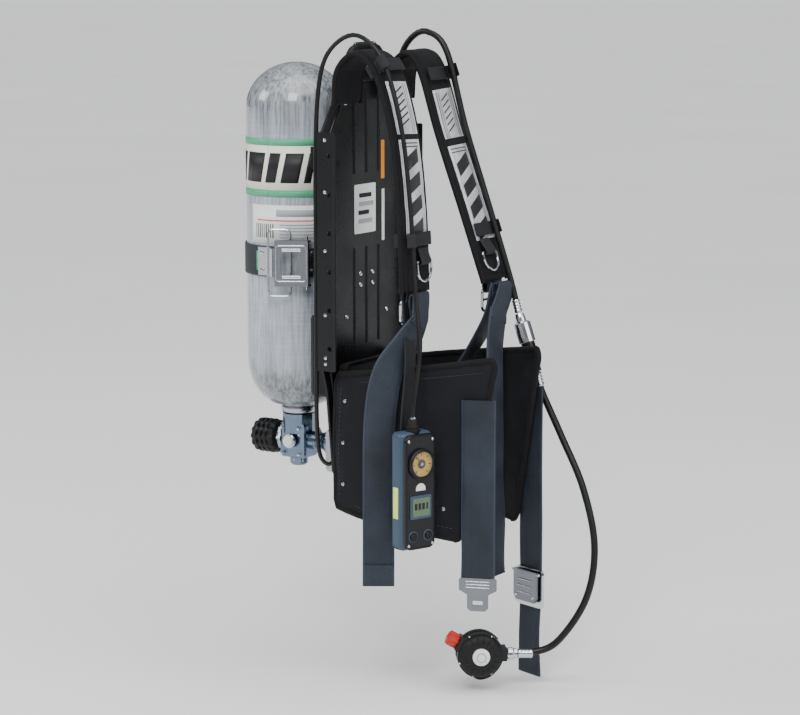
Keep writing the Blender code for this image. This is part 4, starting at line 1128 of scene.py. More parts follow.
def build_straps(side):
    """Adjusting strap under the pad, the hanging tail, the ring's tab and the adjuster's bar."""
    sign = -1.0 if side == "right" else 1.0
    strap("lower_strap_%s_skin" % side, LOWER_STRAPS[side], [ACROSS], WEBBING_WIDTH, WEBBING, curl=0.004,
          seed=1.0 + sign, cup=0.0015, stands_for=["lower_strap_" + side])
    across = [ACROSS, TAIL_ACROSS, TAIL_ACROSS, TAIL_ACROSS] if side == "right" else [ACROSS]
    strap("strap_tail_%s_skin" % side, TAILS[side], across, WEBBING_WIDTH, WEBBING, curl=-0.006,
          seed=4.0 + sign, cup=0.0018, stands_for=["strap_tail_" + side])
    fold_end("strap_tail_%s_fold" % side, smooth_path(TAILS[side], 70), -sign * across[-1].normalized(),
             WEBBING_WIDTH, WEBBING)

    # friction bar of the adjuster, with the strap's bight over it
    low, high = corners("adjuster_" + side)
    middle = (low + high) / 2.0
    bar = [Vector((low.x + 0.002, middle.y, middle.z)), Vector((high.x - 0.002, middle.y, middle.z))]
    tube_piece("adjuster_%s_bar" % side, bar, 0.0038, CHROME)
    end = Vector(PAD_ROUTES[side][-1])
    tab = [(0.0012, 0.012), (0.0010, 0.0), (0.0012, -0.0075), (0.0050, -0.0140), (0.0090, -0.0080),
           (0.0088, 0.0), (0.0062, 0.012)]
    tab = [end + Vector((0.0, deep, rise)) for deep, rise in tab]
    strap("adjuster_%s_tab" % side, tab, [ACROSS], 0.038, WEBBING, thickness=0.0018, count=40)
    top = Vector(LOWER_STRAPS[side][0])
    tail = Vector(TAILS[side][0])
    bight = [Vector((middle.x, top.y, top.z - 0.012)), Vector((middle.x, top.y, top.z)),
             Vector((middle.x, top.y - 0.0012, top.z + 0.0036)),
             Vector((middle.x, (top.y + tail.y) / 2.0, top.z + 0.0058)),
             Vector((middle.x, tail.y + 0.0008, top.z + 0.0036)),
             Vector((middle.x * 0.8 + tail.x * 0.2, tail.y, top.z - 0.0060)),
             Vector((middle.x * 0.4 + tail.x * 0.6, tail.y, top.z * 0.4 + tail.z * 0.6)), tail,
             tail.lerp(Vector(TAILS[side][1]), 0.25)]
    strap("adjuster_%s_bight" % side, bight, [ACROSS], 0.0405, WEBBING, thickness=0.0022, count=40)

    # tab that holds the D ring
    hinge = Vector(joint_named("ring_%s_swing" % side)["pos_m"])
    slope = (Vector(PAD_ROUTES[side][-1]) - Vector(PAD_ROUTES[side][-2])).normalized()
    out = slope.cross(ACROSS).normalized()
    loop = [hinge - slope * 0.018 - out * 0.0016, hinge - slope * 0.008 + out * 0.0010,
            hinge + out * 0.0038, hinge + slope * 0.0038, hinge - out * 0.0030]
    strap("ring_%s_tab" % side, loop, [ACROSS], 0.024, SMALL_WEBBING, 0.0014, 30)
    box = ((-0.016, -0.009), (-0.016, 0.009), (-0.006, 0.009), (-0.006, -0.009), (-0.016, -0.009),
           (-0.006, 0.009))
    stitch_line("ring_%s_thread" % side, [hinge + slope * along + ACROSS * wide + out * 0.0004
                                          for along, wide in box])


# ---------------------------------------------------------------- lumbar pad, wings and waist belt
WING_SWAY = 0.006


def wing_spot(side, along, up, fine=smooth_path(WING_ROUTE, 201)):
    """Point on a wing's middle surface, along it and up it from 0 to 1."""
    reach = along * (0.80 + 0.20 * up)
    spot = fine[round(200 * reach)]
    low = -0.350 - 0.030 * along
    high = -0.170 + 0.035 * along
    return Vector((side * spot.x, spot.y, low + (high - low) * up))


def wing_out(side, along, up):
    """Direction square to a wing's middle surface."""
    ahead = wing_spot(side, min(along + 0.02, 1.0), up) - wing_spot(side, max(along - 0.02, 0.0), up)
    rise = wing_spot(side, along, min(up + 0.05, 1.0)) - wing_spot(side, along, max(up - 0.05, 0.0))
    return ahead.cross(rise).normalized()


def wing_slab(side, columns=40, rows=22):
    """Closed slab over the wing's grid, a little inside its CAD solid."""
    bm = bmesh.new()
    inner = 0.010
    deep = WING_THICKNESS / 2.0 - 0.0015
    sheets = []
    for face in (1.0, -1.0):
        grid = []
        for row in range(rows + 1):
            line = []
            for column in range(columns + 1):
                along = inner + (1.0 - 2.0 * inner) * column / columns
                up = inner + (1.0 - 2.0 * inner) * row / rows
                out = wing_out(side, along, up) * face
                line.append(bm.verts.new(wing_spot(side, along, up) + out * deep))
            grid.append(line)
        sheets.append(grid)
    front, back = sheets
    for grid in sheets:
        grid_faces(bm, grid)
    rim = [(0, column) for column in range(columns)] + [(row, columns) for row in range(rows)]
    rim += [(rows, column) for column in range(columns, 0, -1)] + [(row, 0) for row in range(rows, 0, -1)]
    for (row, column), (next_row, next_column) in zip(rim, rim[1:] + rim[:1]):
        bm.faces.new((front[row][column], front[next_row][next_column], back[next_row][next_column],
                      back[row][column]))
    return bm


def build_wing(word, side):
    """Padded waist wing with bound edges, sewn lines and rivets."""
    table = []
    for column in range(51):
        for row in range(26):
            table.append((wing_spot(side, column / 50.0, row / 25.0), column / 50.0, row / 25.0))

    def seam(point):
        _, along, up = min(table, key=lambda entry: (entry[0] - point).length_squared)
        near_edge = min(along, 1.0 - along) < 0.035 or min(up, 1.0 - up) < 0.045
        sewn_line = abs(up - 0.52 - 0.10 * along) < 0.022 or abs(along - 0.86) < 0.012
        return 1.0 if near_edge or sewn_line else 0.0

    name = "wing_" + word
    wing = stuffed(name, wing_slab(side), WING_CLOTH, seam, 0.0050, ["waist_wing_" + word],
                   crease=0.0016, sway=WING_SWAY)
    edge = [wing_spot(side, step / 30.0, 0.011) for step in range(1, 30)]
    edge += [wing_spot(side, 0.990, step / 16.0) for step in range(1, 16)]
    edge += [wing_spot(side, 1.0 - step / 30.0, 0.989) for step in range(1, 30)]
    edge += [wing_spot(side, 0.010, 1.0 - step / 16.0) for step in range(1, 16)]
    edge = smooth_path(edge, 240)
    for point in edge:
        point.x += WING_SWAY * waving(point)
    tube_piece(name + "_binding", edge, 0.0088, BINDING, cyclic=True)
    tree = skin_of(wing)

    def outward(along, up):
        return wing_out(side, along, up) * -side

    rivets = ((0.10, 0.80), (0.10, 0.50), (0.10, 0.20), (0.60, 0.17), (0.84, 0.17))
    for number, (along, up) in enumerate(rivets):
        stud(name + "_rivet_%d" % number, tree, wing_spot(side, along, up), outward(along, up), 0.0030,
             STEEL)
    rows = [(0.06, 0.10), (0.06, 0.90)], [(0.20, 0.93), (0.93, 0.93)], [(0.20, 0.07), (0.93, 0.07)]
    for number, ((along_a, up_a), (along_b, up_b)) in enumerate(rows):
        line = []
        for step in range(25):
            part = step / 24.0
            along = along_a + (along_b - along_a) * part
            up = up_a + (up_b - up_a) * part
            line.append(drop_on(tree, wing_spot(side, along, up), outward(along, up), STITCH_LIFT))
        stitch_line(name + "_stitch_%d" % number, line, WIDE_PITCH)
    if word == "left":
        wing_tape(name, side, tree, outward)


def wing_tape(name, side, tree, outward):
    """Broad reflective tape along the wing's slanted front edge, with a small printed box."""
    centres = []
    for step in range(31):
        up = 0.89 - 0.78 * step / 30.0
        centres.append(wing_spot(side, 0.80 - 0.02 * up, up))
    ahead = [wing_spot(side, 0.90, 0.5) - wing_spot(side, 0.70, 0.5)] * len(centres)
    along = (centres[-1] - centres[0]).normalized()
    if along.cross(ahead[0]).dot(outward(0.8, 0.5)) < 0.0:
        ahead = [-vector for vector in ahead]
    marks = [(0.128, 0.1295, -0.012, 0.006), (0.156, 0.1575, -0.012, 0.006),
             (0.128, 0.1575, -0.012, -0.0105), (0.128, 0.1575, 0.0045, 0.006)]
    marks += [(0.132 + 0.007 * bar, 0.1355 + 0.007 * bar, -0.0085, 0.0025) for bar in range(3)]
    sewn_strip(name + "_tape", tree, centres, ahead, 0.044, reflective_look("wing_tape", lines=marks))


def stud(name, tree, point, away, radius, look=None):
    """Flat-headed rivet on a soft or moulded surface."""
    foot = drop_on(tree, point, away, 0.0) if tree else point
    profile = [(radius, -0.0006), (radius, 0.0005), (radius * 0.86, 0.0012), (radius * 0.40, 0.0016),
               (radius * 0.30, 0.0011), (0.0, 0.0010)]
    return mesh_piece(name, turned(profile, 24), look or CHROME, matrix=standing(foot, away))


def build_lumbar():
    """Lumbar pad with three sewn channels and a bound edge."""
    low, high = corners("lumbar_pad")
    size = high - low - Vector((0.006, 0.006, 0.006))
    middle = (low + high) / 2.0
    bm = rounded_cube(size, middle, 0.007, 2)
    lines = [low.z + (high.z - low.z) * share for share in (0.33, 0.66)]

    def seam(point):
        if point.y > high.y - 0.006 or min(point.x - low.x, high.x - point.x) < 0.0055:
            return 1.0
        if min(abs(point.z - line) for line in lines) < 0.0030 and point.y < middle.y:
            return 1.0
        return 0.0

    pad = stuffed("lumbar_cushion", bm, CLOTH, seam, 0.0060, ["lumbar_pad"])
    tree = skin_of(pad)
    for number, line in enumerate(lines):
        spots = []
        for step in range(31):
            spot = Vector((low.x + 0.010 + (high.x - low.x - 0.020) * step / 30.0, middle.y, line))
            spots.append(drop_on(tree, spot, FRONT, STITCH_LIFT))
        stitch_line("lumbar_stitch_%d" % number, spots, WIDE_PITCH)
    outline = rounded_outline(size.x, size.z, 0.012, 6, (middle.x, middle.z))
    rim = [Vector((x, low.y + 0.005, z)) for x, z in outline]
    tube_piece("lumbar_binding", rim, 0.0040, BINDING, cyclic=True)


def build_belt():
    """Waist belt halves, the left one with a folded end, and the bars and tooling of the lift buckle."""
    for word in ("right", "left"):
        low, high = corners("waist_belt_" + word)
        middle = (low + high) / 2.0
        slant = low.y - high.y if word == "right" else high.y - low.y
        side = Vector((high.x - low.x, slant, 0.0)).normalized()
        points = [Vector((middle.x, middle.y, z)) for z in (high.z, high.z - 0.10, low.z + 0.10, low.z)]
        strap("waist_belt_%s_skin" % word, points, [side], BELT_WIDTH, BELT, curl=-0.003, seed=8.0,
              cup=0.0012, stands_for=["waist_belt_" + word])
        if word == "left":
            fold_end("waist_belt_fold", points, -side, BELT_WIDTH, BELT)
    lift = joint_named("buckle_lift_turn")
    axis = Vector(lift["axis"])
    pin = Vector(lift["pos_m"])
    tube_piece("buckle_pin", [pin - axis * 0.0265, pin + axis * 0.0265], 0.0036, CHROME)
    out = axis.cross(UP).normalized()
    if (centre("buckle_cover") - centre("buckle_frame")).dot(out) < 0.0:
        out = -out
    for number, drop in enumerate((0.010, 0.019, 0.028)):
        start = pin + out * 0.0019 - UP * drop
        tube_piece("buckle_ridge_%d" % number, [start - axis * 0.014, start + axis * 0.014], 0.0020, CHROME,
                   body="buckle_lift")
    for number, across in enumerate((-0.017, 0.017)):
        place = pin + axis * across + out * 0.0018 - UP * 0.033
        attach(stud("buckle_rivet_%d" % number, None, place, out, 0.0024), "buckle_lift")
    _, side, middle, half = broad_face("buckle_tongue", FRONT)
    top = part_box("buckle_tongue")[1][2]
    for number, drop in enumerate((0.0045, 0.0085, 0.0125)):
        spot = Vector((middle.x, middle.y, top - drop))
        bar = [spot - side * half * 0.62, spot + side * half * 0.62]
        tube_piece("tongue_ridge_%d" % number, bar, 0.0013, CHROME)


# ---------------------------------------------------------------- hard parts
def block(name, size, middle, look, radius=0.001, matrix=None, body="root", stands_for=()):
    """Box with rounded edges."""
    bm = rounded_cube(size, middle, radius, 4)
    return mesh_piece(name, bm, look, body, stands_for, sharp=50.0, matrix=matrix)


def hexagon(across):
    """Outline of a hexagon nut from its width across flats."""
    return [(across / math.sqrt(3.0) * math.cos(math.radians(60.0 * step)),
             across / math.sqrt(3.0) * math.sin(math.radians(60.0 * step))) for step in range(6)]


def nut(name, place, along, across, depth, look=None):
    """Hexagon nut along a direction."""
    piece = mesh_piece(name, prism(hexagon(across), 0.0, depth, along="Z"), look or CHROME,
                       sharp=30.0, matrix=standing(place, Vector(along)))
    return round_edges(piece, 0.0006, 2)


def plate_mark(name, outline, front, thick, look):
    """Thin printed or stuck-on shape that faces the wearer."""
    return mesh_piece(name, prism(outline, front - thick, front), look)


def build_carrier():
    """Moulded carrier plate with beads, ribs, rivets, stickers, rail trim and the handle's fittings."""
    low, high = corners("carrier_plate")
    front = low.y
    half = high.x
    right_side = [(0.074, low.z), (0.082, low.z + 0.010), (half - 0.010, -0.195), (half, -0.165),
                  (half, 0.150), (0.050, high.z)]
    outline = right_side + [(-x, z) for x, z in reversed(right_side)]
    plate = mesh_piece("carrier_moulding", prism(outline, front, high.y), SATIN_BLACK,
                       stands_for=["carrier_plate"], sharp=30.0)
    round_edges(plate, 0.0014, 3)
    bead = [(0.060, low.z + 0.014), (half - 0.022, -0.185), (half - 0.016, -0.160), (half - 0.016, 0.142),
            (0.044, high.z - 0.014)]
    bead += [(-x, z) for x, z in reversed(bead)]
    bead = [(x, front + 0.0008, z) for x, z in bead]
    tube_piece("carrier_bead", bead, 0.0060, SATIN_BLACK, cyclic=True)
    for number, x in enumerate((-0.030, 0.0, 0.030)):
        for part, (foot, top) in enumerate(((-0.140, -0.010), (0.090, 0.200))):
            line = [(x, front + 0.0012, foot), (x, front + 0.0012, top)]
            tube_piece("carrier_rib_%d_%d" % (number, part), line, 0.0060, SATIN_BLACK)
    for number, (x, z) in enumerate(((-0.052, 0.185), (0.052, 0.185), (-0.050, -0.100), (0.050, -0.100),
                                     (-0.015, -0.045), (0.015, -0.045), (-0.015, -0.060), (0.015, -0.060))):
        stud("carrier_rivet_%d" % number, None, Vector((x, front, z)), FRONT, 0.0034)

    # stickers on the wearer's face
    plate_mark("sticker", rounded_outline(0.052, 0.066, 0.002, 4, (-0.004, 0.042)), front, 0.0005, PAPER)
    for line, (wide, shift) in enumerate(((0.030, 0.0), (0.036, 0.002), (0.026, -0.004), (0.034, 0.0))):
        outline = rounded_outline(wide, 0.0058, 0.0008, 2, (-0.004 + shift, 0.060 - line * 0.0115))
        ink = GREY_PRINT if line % 2 else BLACK_PRINT
        plate_mark("sticker_line_%d" % line, outline, front - 0.0006, 0.0003, ink)
    plate_mark("orange_strip", rounded_outline(0.008, 0.052, 0.001, 3, (0.040, 0.105)), front, 0.0006,
               ORANGE)
    plate_mark("pale_strip", rounded_outline(0.006, 0.070, 0.001, 3, (0.041, 0.030)), front, 0.0006, PAPER)

    for word, side in (("right", -1.0), ("left", 1.0)):
        rail_low, rail_high = corners("side_rail_" + word)
        face = rail_low.x if side < 0.0 else rail_high.x
        for number, z in enumerate((rail_low.z + 0.010, rail_low.z + 0.018, -0.090, -0.005, 0.072, 0.140)):
            stud("rail_%s_rivet_%d" % (word, number), None, Vector((face, rail_low.y + 0.014, z)),
                 ACROSS * side, 0.0026)
        ends = (rail_low.z + 0.001, rail_high.z - 0.001)
        edge = [(face - side * 0.0015, rail_low.y + 0.0002, z) for z in ends]
        tube_piece("rail_%s_bead" % word, edge, 0.0042, SATIN_BLACK)
        place = (side * 0.040, (low.y + high.y) / 2.0, high.z + 0.001)
        block("handle_bracket_" + word, (0.018, 0.016, 0.010), place, SATIN_BLACK, 0.002)
    handle_low, handle_high = corners("carry_handle")
    middle = (handle_low.y + handle_high.y) / 2.0
    for number in range(9):
        x = -0.020 + 0.005 * number
        ring = [(0.0053, -0.0011), (0.0060, -0.0006), (0.0060, 0.0006), (0.0053, 0.0011)]
        matrix = Matrix.Translation((x, middle, handle_high.z - 0.0052))
        mesh_piece("handle_ring_%d" % number, closed_turned(ring, 28, "X"), RUBBER, matrix=matrix)


def broad_face(name, away):
    """Outward direction, sideways direction, middle and half width of a plate's broad face."""
    node = frame["nodes"][name]
    turn = node.matrix_world.to_3x3()
    face = max(node.data.polygons, key=lambda one: one.area * max((turn @ one.normal).dot(away), 0.0))
    out = (turn @ face.normal).normalized()
    side = UP.cross(out).normalized()
    spots = [node.matrix_world @ vert.co for vert in node.data.vertices]
    level = max(spot.dot(out) for spot in spots)
    spots = [spot for spot in spots if spot.dot(out) > level - 0.0006]
    reach = [spot.dot(side) for spot in spots]
    height = [spot.z for spot in spots]
    middle = out * level + side * (min(reach) + max(reach)) / 2.0
    middle.z = (min(height) + max(height)) / 2.0
    return out, side, middle, (max(reach) - min(reach)) / 2.0


def build_band():
    """Woven band round the cylinder with its printed marks and rivets."""
    low, high = corners("cylinder_band")
    middle = (low.z + high.z) / 2.0
    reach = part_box("cylinder_shell")[1][0] + 0.0015
    turn = -150.0
    centres = [Vector((x, y, middle)) for x, y in arc(reach, turn + 22.0, turn + 338.0, 110)]
    band_look = webbing_look("band_webbing", (0.016, 0.020, 0.024), 0.042)
    mesh_piece("band_webbing_loop", ribbon(centres, [UP] * len(centres), 0.0415, 0.0024), band_look,
               stands_for=["cylinder_band"], sharp=70.0)
    marks = ((-196.0, -190.0), (-187.0, -179.0), (-96.0, -88.0), (20.0, 28.0))
    for number, (start, end) in enumerate(marks):
        wrap_sheet("band_mark_%d" % number, middle - 0.013, middle + 0.013, start, end, 0.0029, GREEN_PRINT)
    for number, (angle, shift) in enumerate(((turn + 27.0, 0.012), (turn + 27.0, -0.012),
                                             (turn - 36.0, 0.012), (turn - 36.0, -0.012))):
        away = Vector((math.cos(math.radians(angle)), math.sin(math.radians(angle)), 0.0))
        place = away * (reach + 0.0036) + UP * (middle + shift)
        stud("band_rivet_%d" % number, None, place, away, 0.0030)
    away = centre("band_lever") - centre("cylinder_shell")
    out, side, middle, half = broad_face("band_lever", Vector((away.x, away.y, 0.0)).normalized())
    lip = rounded_outline(half * 2.0 - 0.004, 0.048, 0.004, 5)
    rim = [middle + side * across + UP * rise - out * 0.0001 for across, rise in lip]
    tube_piece("lever_lip", rim, 0.0016, CHROME, body="lever", cyclic=True)
    for number, rise in enumerate((-0.0195, -0.0170, 0.0170, 0.0195)):
        spot = middle + UP * rise
        bar = [spot - side * half * 0.55, spot + side * half * 0.55]
        tube_piece("lever_ridge_%d" % number, bar, 0.0013, CHROME, body="lever")


def build_valve():
    """Handwheel, coupling nut, burst-disc plug, gauge face and the small fittings of the valve."""
    z = centre("coupling_nut").z
    valve = Matrix.Translation((0.0, 0.0, z))
    grip = [(0.0, 0.0305), (0.0150, 0.0305), (0.0205, 0.0318), (0.0222, 0.0345), (0.0226, 0.0420),
            (0.0226, 0.0600), (0.0218, 0.0650), (0.0190, 0.0676), (0.0120, 0.0680), (0.0, 0.0680)]
    mesh_piece("handwheel_grip", turned(grip, 144, "Y", 0.0011, 12), RUBBER, "handwheel",
               ["valve_handwheel"], matrix=valve)
    cap = [(0.0, 0.0679), (0.0085, 0.0679), (0.0095, 0.0684), (0.0088, 0.0694), (0.0, 0.0698)]
    mesh_piece("handwheel_cap", turned(cap, 40, "Y"), STEEL, "handwheel", matrix=valve)
    for number, place in enumerate((0.0400, 0.0480, 0.0560)):
        ring = [(0.0212, place), (0.0238, place + 0.0006), (0.0238, place + 0.0024),
                (0.0212, place + 0.0030)]
        mesh_piece("handwheel_rib_%d" % number, closed_turned(ring, 96, "Y"), SATIN_BLACK,
                   "handwheel", matrix=valve)
    cone = [(0.0, -0.0625), (0.0196, -0.0625), (0.0210, -0.0618), (0.0219, -0.0604), (0.0219, -0.0566),
            (0.0205, -0.0545), (0.0168, -0.0505), (0.0140, -0.0466), (0.0124, -0.0425), (0.0117, -0.0385),
            (0.0117, -0.0350), (0.0129, -0.0342), (0.0129, -0.0318), (0.0120, -0.0313), (0.0, -0.0313)]
    mesh_piece("coupling_cone", turned(cone, 96, "Y"), BLUE_STEEL, "nut", ["coupling_nut"],
               matrix=valve)
    for step in range(28):
        angle = TAU * step / 28
        place = Vector((0.0217 * math.cos(angle), -0.0585, z + 0.0217 * math.sin(angle)))
        block("cone_knurl_%02d" % step, (0.0016, 0.0042, 0.0016), (0.0, 0.0, 0.0), BLUE_STEEL,
              0.0004, Matrix.Translation(place) @ Matrix.Rotation(-angle, 4, "Y"), "nut")
    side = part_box("valve_body")[0][0]
    plug_place = Matrix.Translation((side, 0.0, z))
    plug = [(0.0, 0.0), (0.0098, 0.0), (0.0098, -0.0030), (0.0088, -0.0040), (0.0, -0.0040)]
    mesh_piece("plug_seat", turned(plug, 48, "X"), CHROME, matrix=plug_place)
    plug = [(0.0, -0.0040), (0.0080, -0.0040), (0.0082, -0.0052), (0.0072, -0.0064), (0.0030, -0.0068),
            (0.0, -0.0068)]
    mesh_piece("burst_plug", turned(plug, 40, "X"), WHITE, matrix=plug_place)
    nut("valve_stem_nut", (0.0, 0.0, z + 0.0255), (0.0, 0.0, 1.0), 0.038, 0.0070, STEEL)
    nut("valve_foot_nut", (0.0, 0.0, z - 0.0315), (0.0, 0.0, 1.0), 0.022, 0.0050, STEEL)
    nut("spindle_nut", (0.0, 0.0215, z), (0.0, 1.0, 0.0), 0.029, 0.0070, STEEL)
    for number, (y, dz) in enumerate(((-0.014, 0.018), (0.014, 0.018), (-0.014, -0.018), (0.014, -0.018))):
        stud("valve_screw_%d" % number, None, Vector((side, y, z + dz)), -ACROSS, 0.0022)

    # pressure gauge on the far side
    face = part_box("cylinder_gauge_case")[1][0]
    gauge_place = Matrix.Translation((face, 0.0, z))
    dial = [(0.0, -0.0069), (0.0138, -0.0069), (0.0138, -0.0066), (0.0, -0.0066)]
    mesh_piece("gauge_face", turned(dial, 48, "X"), PAPER, matrix=gauge_place)
    lens = [(0.0, -0.0016), (0.0139, -0.0016), (0.0139, -0.0008), (0.0, -0.0004)]
    mesh_piece("gauge_lens", turned(lens, 48, "X"), CLEAR, matrix=gauge_place)
    for step in range(11):
        turn = Matrix.Rotation(math.radians(-135.0 + 27.0 * step), 4, "X")
        matrix = Matrix.Translation((face - 0.0064, 0.0, z)) @ turn
        block("gauge_tick_%02d" % step, (0.0004, 0.0007, 0.0026), (0.0, 0.0, 0.0115), BLACK_PRINT,
              0.0001, matrix)


def build_reducer():
    """Nuts, relief valve, quick-fill fitting and lids of what sits behind the carrier's foot."""
    low, high = corners("reducer_body")
    middle = (low + high) / 2.0
    nut("gauge_hose_nut", GAUGE_ROUTE[0], (-1.0, 0.0, 0.0), 0.012, 0.007)
    nut("supply_hose_nut", SUPPLY_ROUTE[0], (1.0, 0.0, 0.0), 0.015, 0.008)
    fitting = [(0.0, 0.0), (0.0090, 0.0), (0.0090, -0.0040), (0.0070, -0.0050), (0.0070, -0.0100),
               (0.0082, -0.0110), (0.0082, -0.0150), (0.0060, -0.0162), (0.0, -0.0162)]
    mesh_piece("quick_fill", turned(fitting, 48), CHROME,
               matrix=Matrix.Translation((0.026, middle.y, low.z)))
    relief = [(0.0, 0.0), (0.0060, 0.0), (0.0060, 0.0050), (0.0048, 0.0058), (0.0048, 0.0110),
              (0.0030, 0.0125), (0.0, 0.0125)]
    mesh_piece("relief_valve", turned(relief, 40), BRASS,
               matrix=Matrix.Translation((0.030, middle.y - 0.004, high.z)))
    for number, (x, z) in enumerate(((-0.028, 0.020), (0.028, 0.020), (-0.028, -0.020), (0.028, -0.020))):
        place = Vector((middle.x + x, high.y, middle.z + z))
        stud("reducer_screw_%d" % number, None, place, REAR, 0.0028)
    for word in ("alarm_housing", "power_module"):
        low, high = corners(word)
        middle = (low + high) / 2.0
        block(word + "_lid", (high.x - low.x - 0.006, 0.0016, high.z - low.z - 0.008),
              (middle.x, high.y + 0.0004, middle.z), BLACK, 0.0006)
        for number, z in enumerate((low.z + 0.009, high.z - 0.009)):
            stud(word + "_screw_%d" % number, None, Vector((middle.x, high.y + 0.0012, z)), REAR, 0.0020)
        for number in range(5):
            z = middle.z - 0.012 + 0.006 * number
            block(word + "_slot_%d" % number, (0.012, 0.0012, 0.0022), (middle.x, high.y + 0.0014, z),
                  RUBBER, 0.0005)


# ---------------------------------------------------------------- console and regulator
def build_console():
    """Console: moulded case, face, dial, marks, display, glow strip, strain relief and hanger."""
    case = centre("console_case")
    axis = Vector(joint_named("button_1_press")["axis"])
    place = frame_along(axis, case - axis * 0.003)
    case_front = -0.010
    width, depth, height = 0.050, 0.026, 0.155
    body = block("console_shell", (width, depth, height), (0.0, case_front + depth / 2.0, 0.0), SLATE,
                 0.0068, place, stands_for=["console_case"])
    body.data.set_sharp_from_angle(angle=math.radians(60.0))
    for number, z in enumerate((-0.045, -0.036, -0.027, 0.020, 0.029, 0.038)):
        line = [place @ Vector((0.0242, y, z)) for y in (-0.002, 0.012)]
        tube_piece("console_rib_%d" % number, line, 0.0026, SLATE)

    near = case_front - 0.0003
    far = near - 0.006
    outline = rounded_outline(width - 0.002, height - 0.004, 0.010, 8)
    face = mesh_piece("console_face", prism(outline, far, near), SATIN_BLACK,
                      matrix=place, sharp=30.0, stands_for=["console_cover"])
    round_edges(face, 0.0016, 4)
    outline = rounded_outline(width - 0.007, height - 0.009, 0.008, 8)
    rim = [place @ Vector((x, far + 0.0002, z)) for x, z in outline]
    tube_piece("console_rim", rim, 0.0018, BLACK, cyclic=True)

    # dial
    hub = place @ Matrix.Translation((0.0, far - 0.0003, 0.037))
    bezel = [(0.0165, -0.0050), (0.0178, -0.0052), (0.0190, -0.0046), (0.0199, -0.0034), (0.0201, -0.0018),
             (0.0201, 0.0), (0.0165, 0.0)]
    mesh_piece("dial_bezel", closed_turned(bezel, 96, "Y"), BLACK, matrix=hub,
               stands_for=["console_bezel"])
    disc = [(0.0, -0.0014), (0.0166, -0.0014), (0.0166, 0.0), (0.0, 0.0)]
    mesh_piece("dial_face", turned(disc, 64, "Y"), YELLOW, matrix=hub)
    for step in range(25):
        turn = Matrix.Rotation(math.radians(-140.0 + 280.0 * step / 24.0), 4, "Y")
        long = step % 4 == 0
        length = 0.0042 if long else 0.0022
        block("dial_tick_%02d" % step, (0.0014 if long else 0.0007, 0.0003, length),
              (0.0, -0.0016, 0.0152 - length / 2.0), BLACK_PRINT, 0.0001, hub @ turn)
    inner = [(0.0, -0.0018), (0.0058, -0.0018), (0.0062, -0.0015), (0.0, -0.0015)]
    mesh_piece("dial_boss", turned(inner, 40, "Y"), BLACK_PRINT, matrix=hub)
    cap = [(0.0, -0.0032), (0.0016, -0.0031), (0.0020, -0.0024), (0.0, -0.0024)]
    mesh_piece("needle_cap", turned(cap, 24, "Y"), BRASS, "dial_needle", matrix=hub)

    # marks, display and buttons
    mark = arc(0.0075, 0.0, 180.0, 20, (0.0, 0.0040)) + [(-0.0075, 0.0020), (0.0075, 0.0020)]
    mesh_piece("face_mark", prism(mark, far - 0.0007, far + 0.0002), WHITE, matrix=place)
    window = rounded_outline(0.034, 0.031, 0.003, 6, (0.0, -0.0195))
    surround = mesh_piece("display_frame", prism(window, far - 0.0014, far + 0.0002), SLATE,
                          matrix=place, sharp=30.0)
    round_edges(surround, 0.0007)
    glass = rounded_outline(0.027, 0.024, 0.0015, 4, (0.0, -0.0195))
    display = Look("display_green", (0.05, 0.10, 0.045), 0.16, 0.0, Coat_Weight=0.6, Coat_Roughness=0.05)
    pixels = display.cells(0.0011)
    display.tint(display.mix(pixels, (0.075, 0.14, 0.050), (0.035, 0.075, 0.032)))
    display.shine(display.spread(display.noise(0.006), 0.3, 0.7, 0.10, 0.26))
    mesh_piece("display_glass", prism(glass, far - 0.0019, far - 0.0010), display.made,
               matrix=place)
    bars = ((-0.0085, 0.0040), (-0.0025, 0.0040), (0.0035, 0.0040), (0.0095, 0.0025))
    for number, (x, wide) in enumerate(bars):
        digit = rounded_outline(wide, 0.0085, 0.0006, 2, (x, -0.0185))
        mesh_piece("display_digit_%d" % number, prism(digit, far - 0.00215, far - 0.0017), BLACK_PRINT,
                   matrix=place)
    for number, x in enumerate((-0.012, 0.012)):
        ring = [(0.0062, -0.0012), (0.0070, -0.0012), (0.0076, -0.0004), (0.0076, 0.0004), (0.0062, 0.0004)]
        matrix = place @ Matrix.Translation((x, far, -0.058))
        mesh_piece("button_ring_%d" % number, closed_turned(ring, 40, "Y"), SLATE,
                   matrix=matrix)
    screws = ((-0.019, 0.068), (0.019, 0.068), (-0.019, -0.069), (0.019, -0.069))
    for number, (x, z) in enumerate(screws):
        stud("console_screw_%d" % number, None, place @ Vector((x, far, z)), -axis, 0.0022)

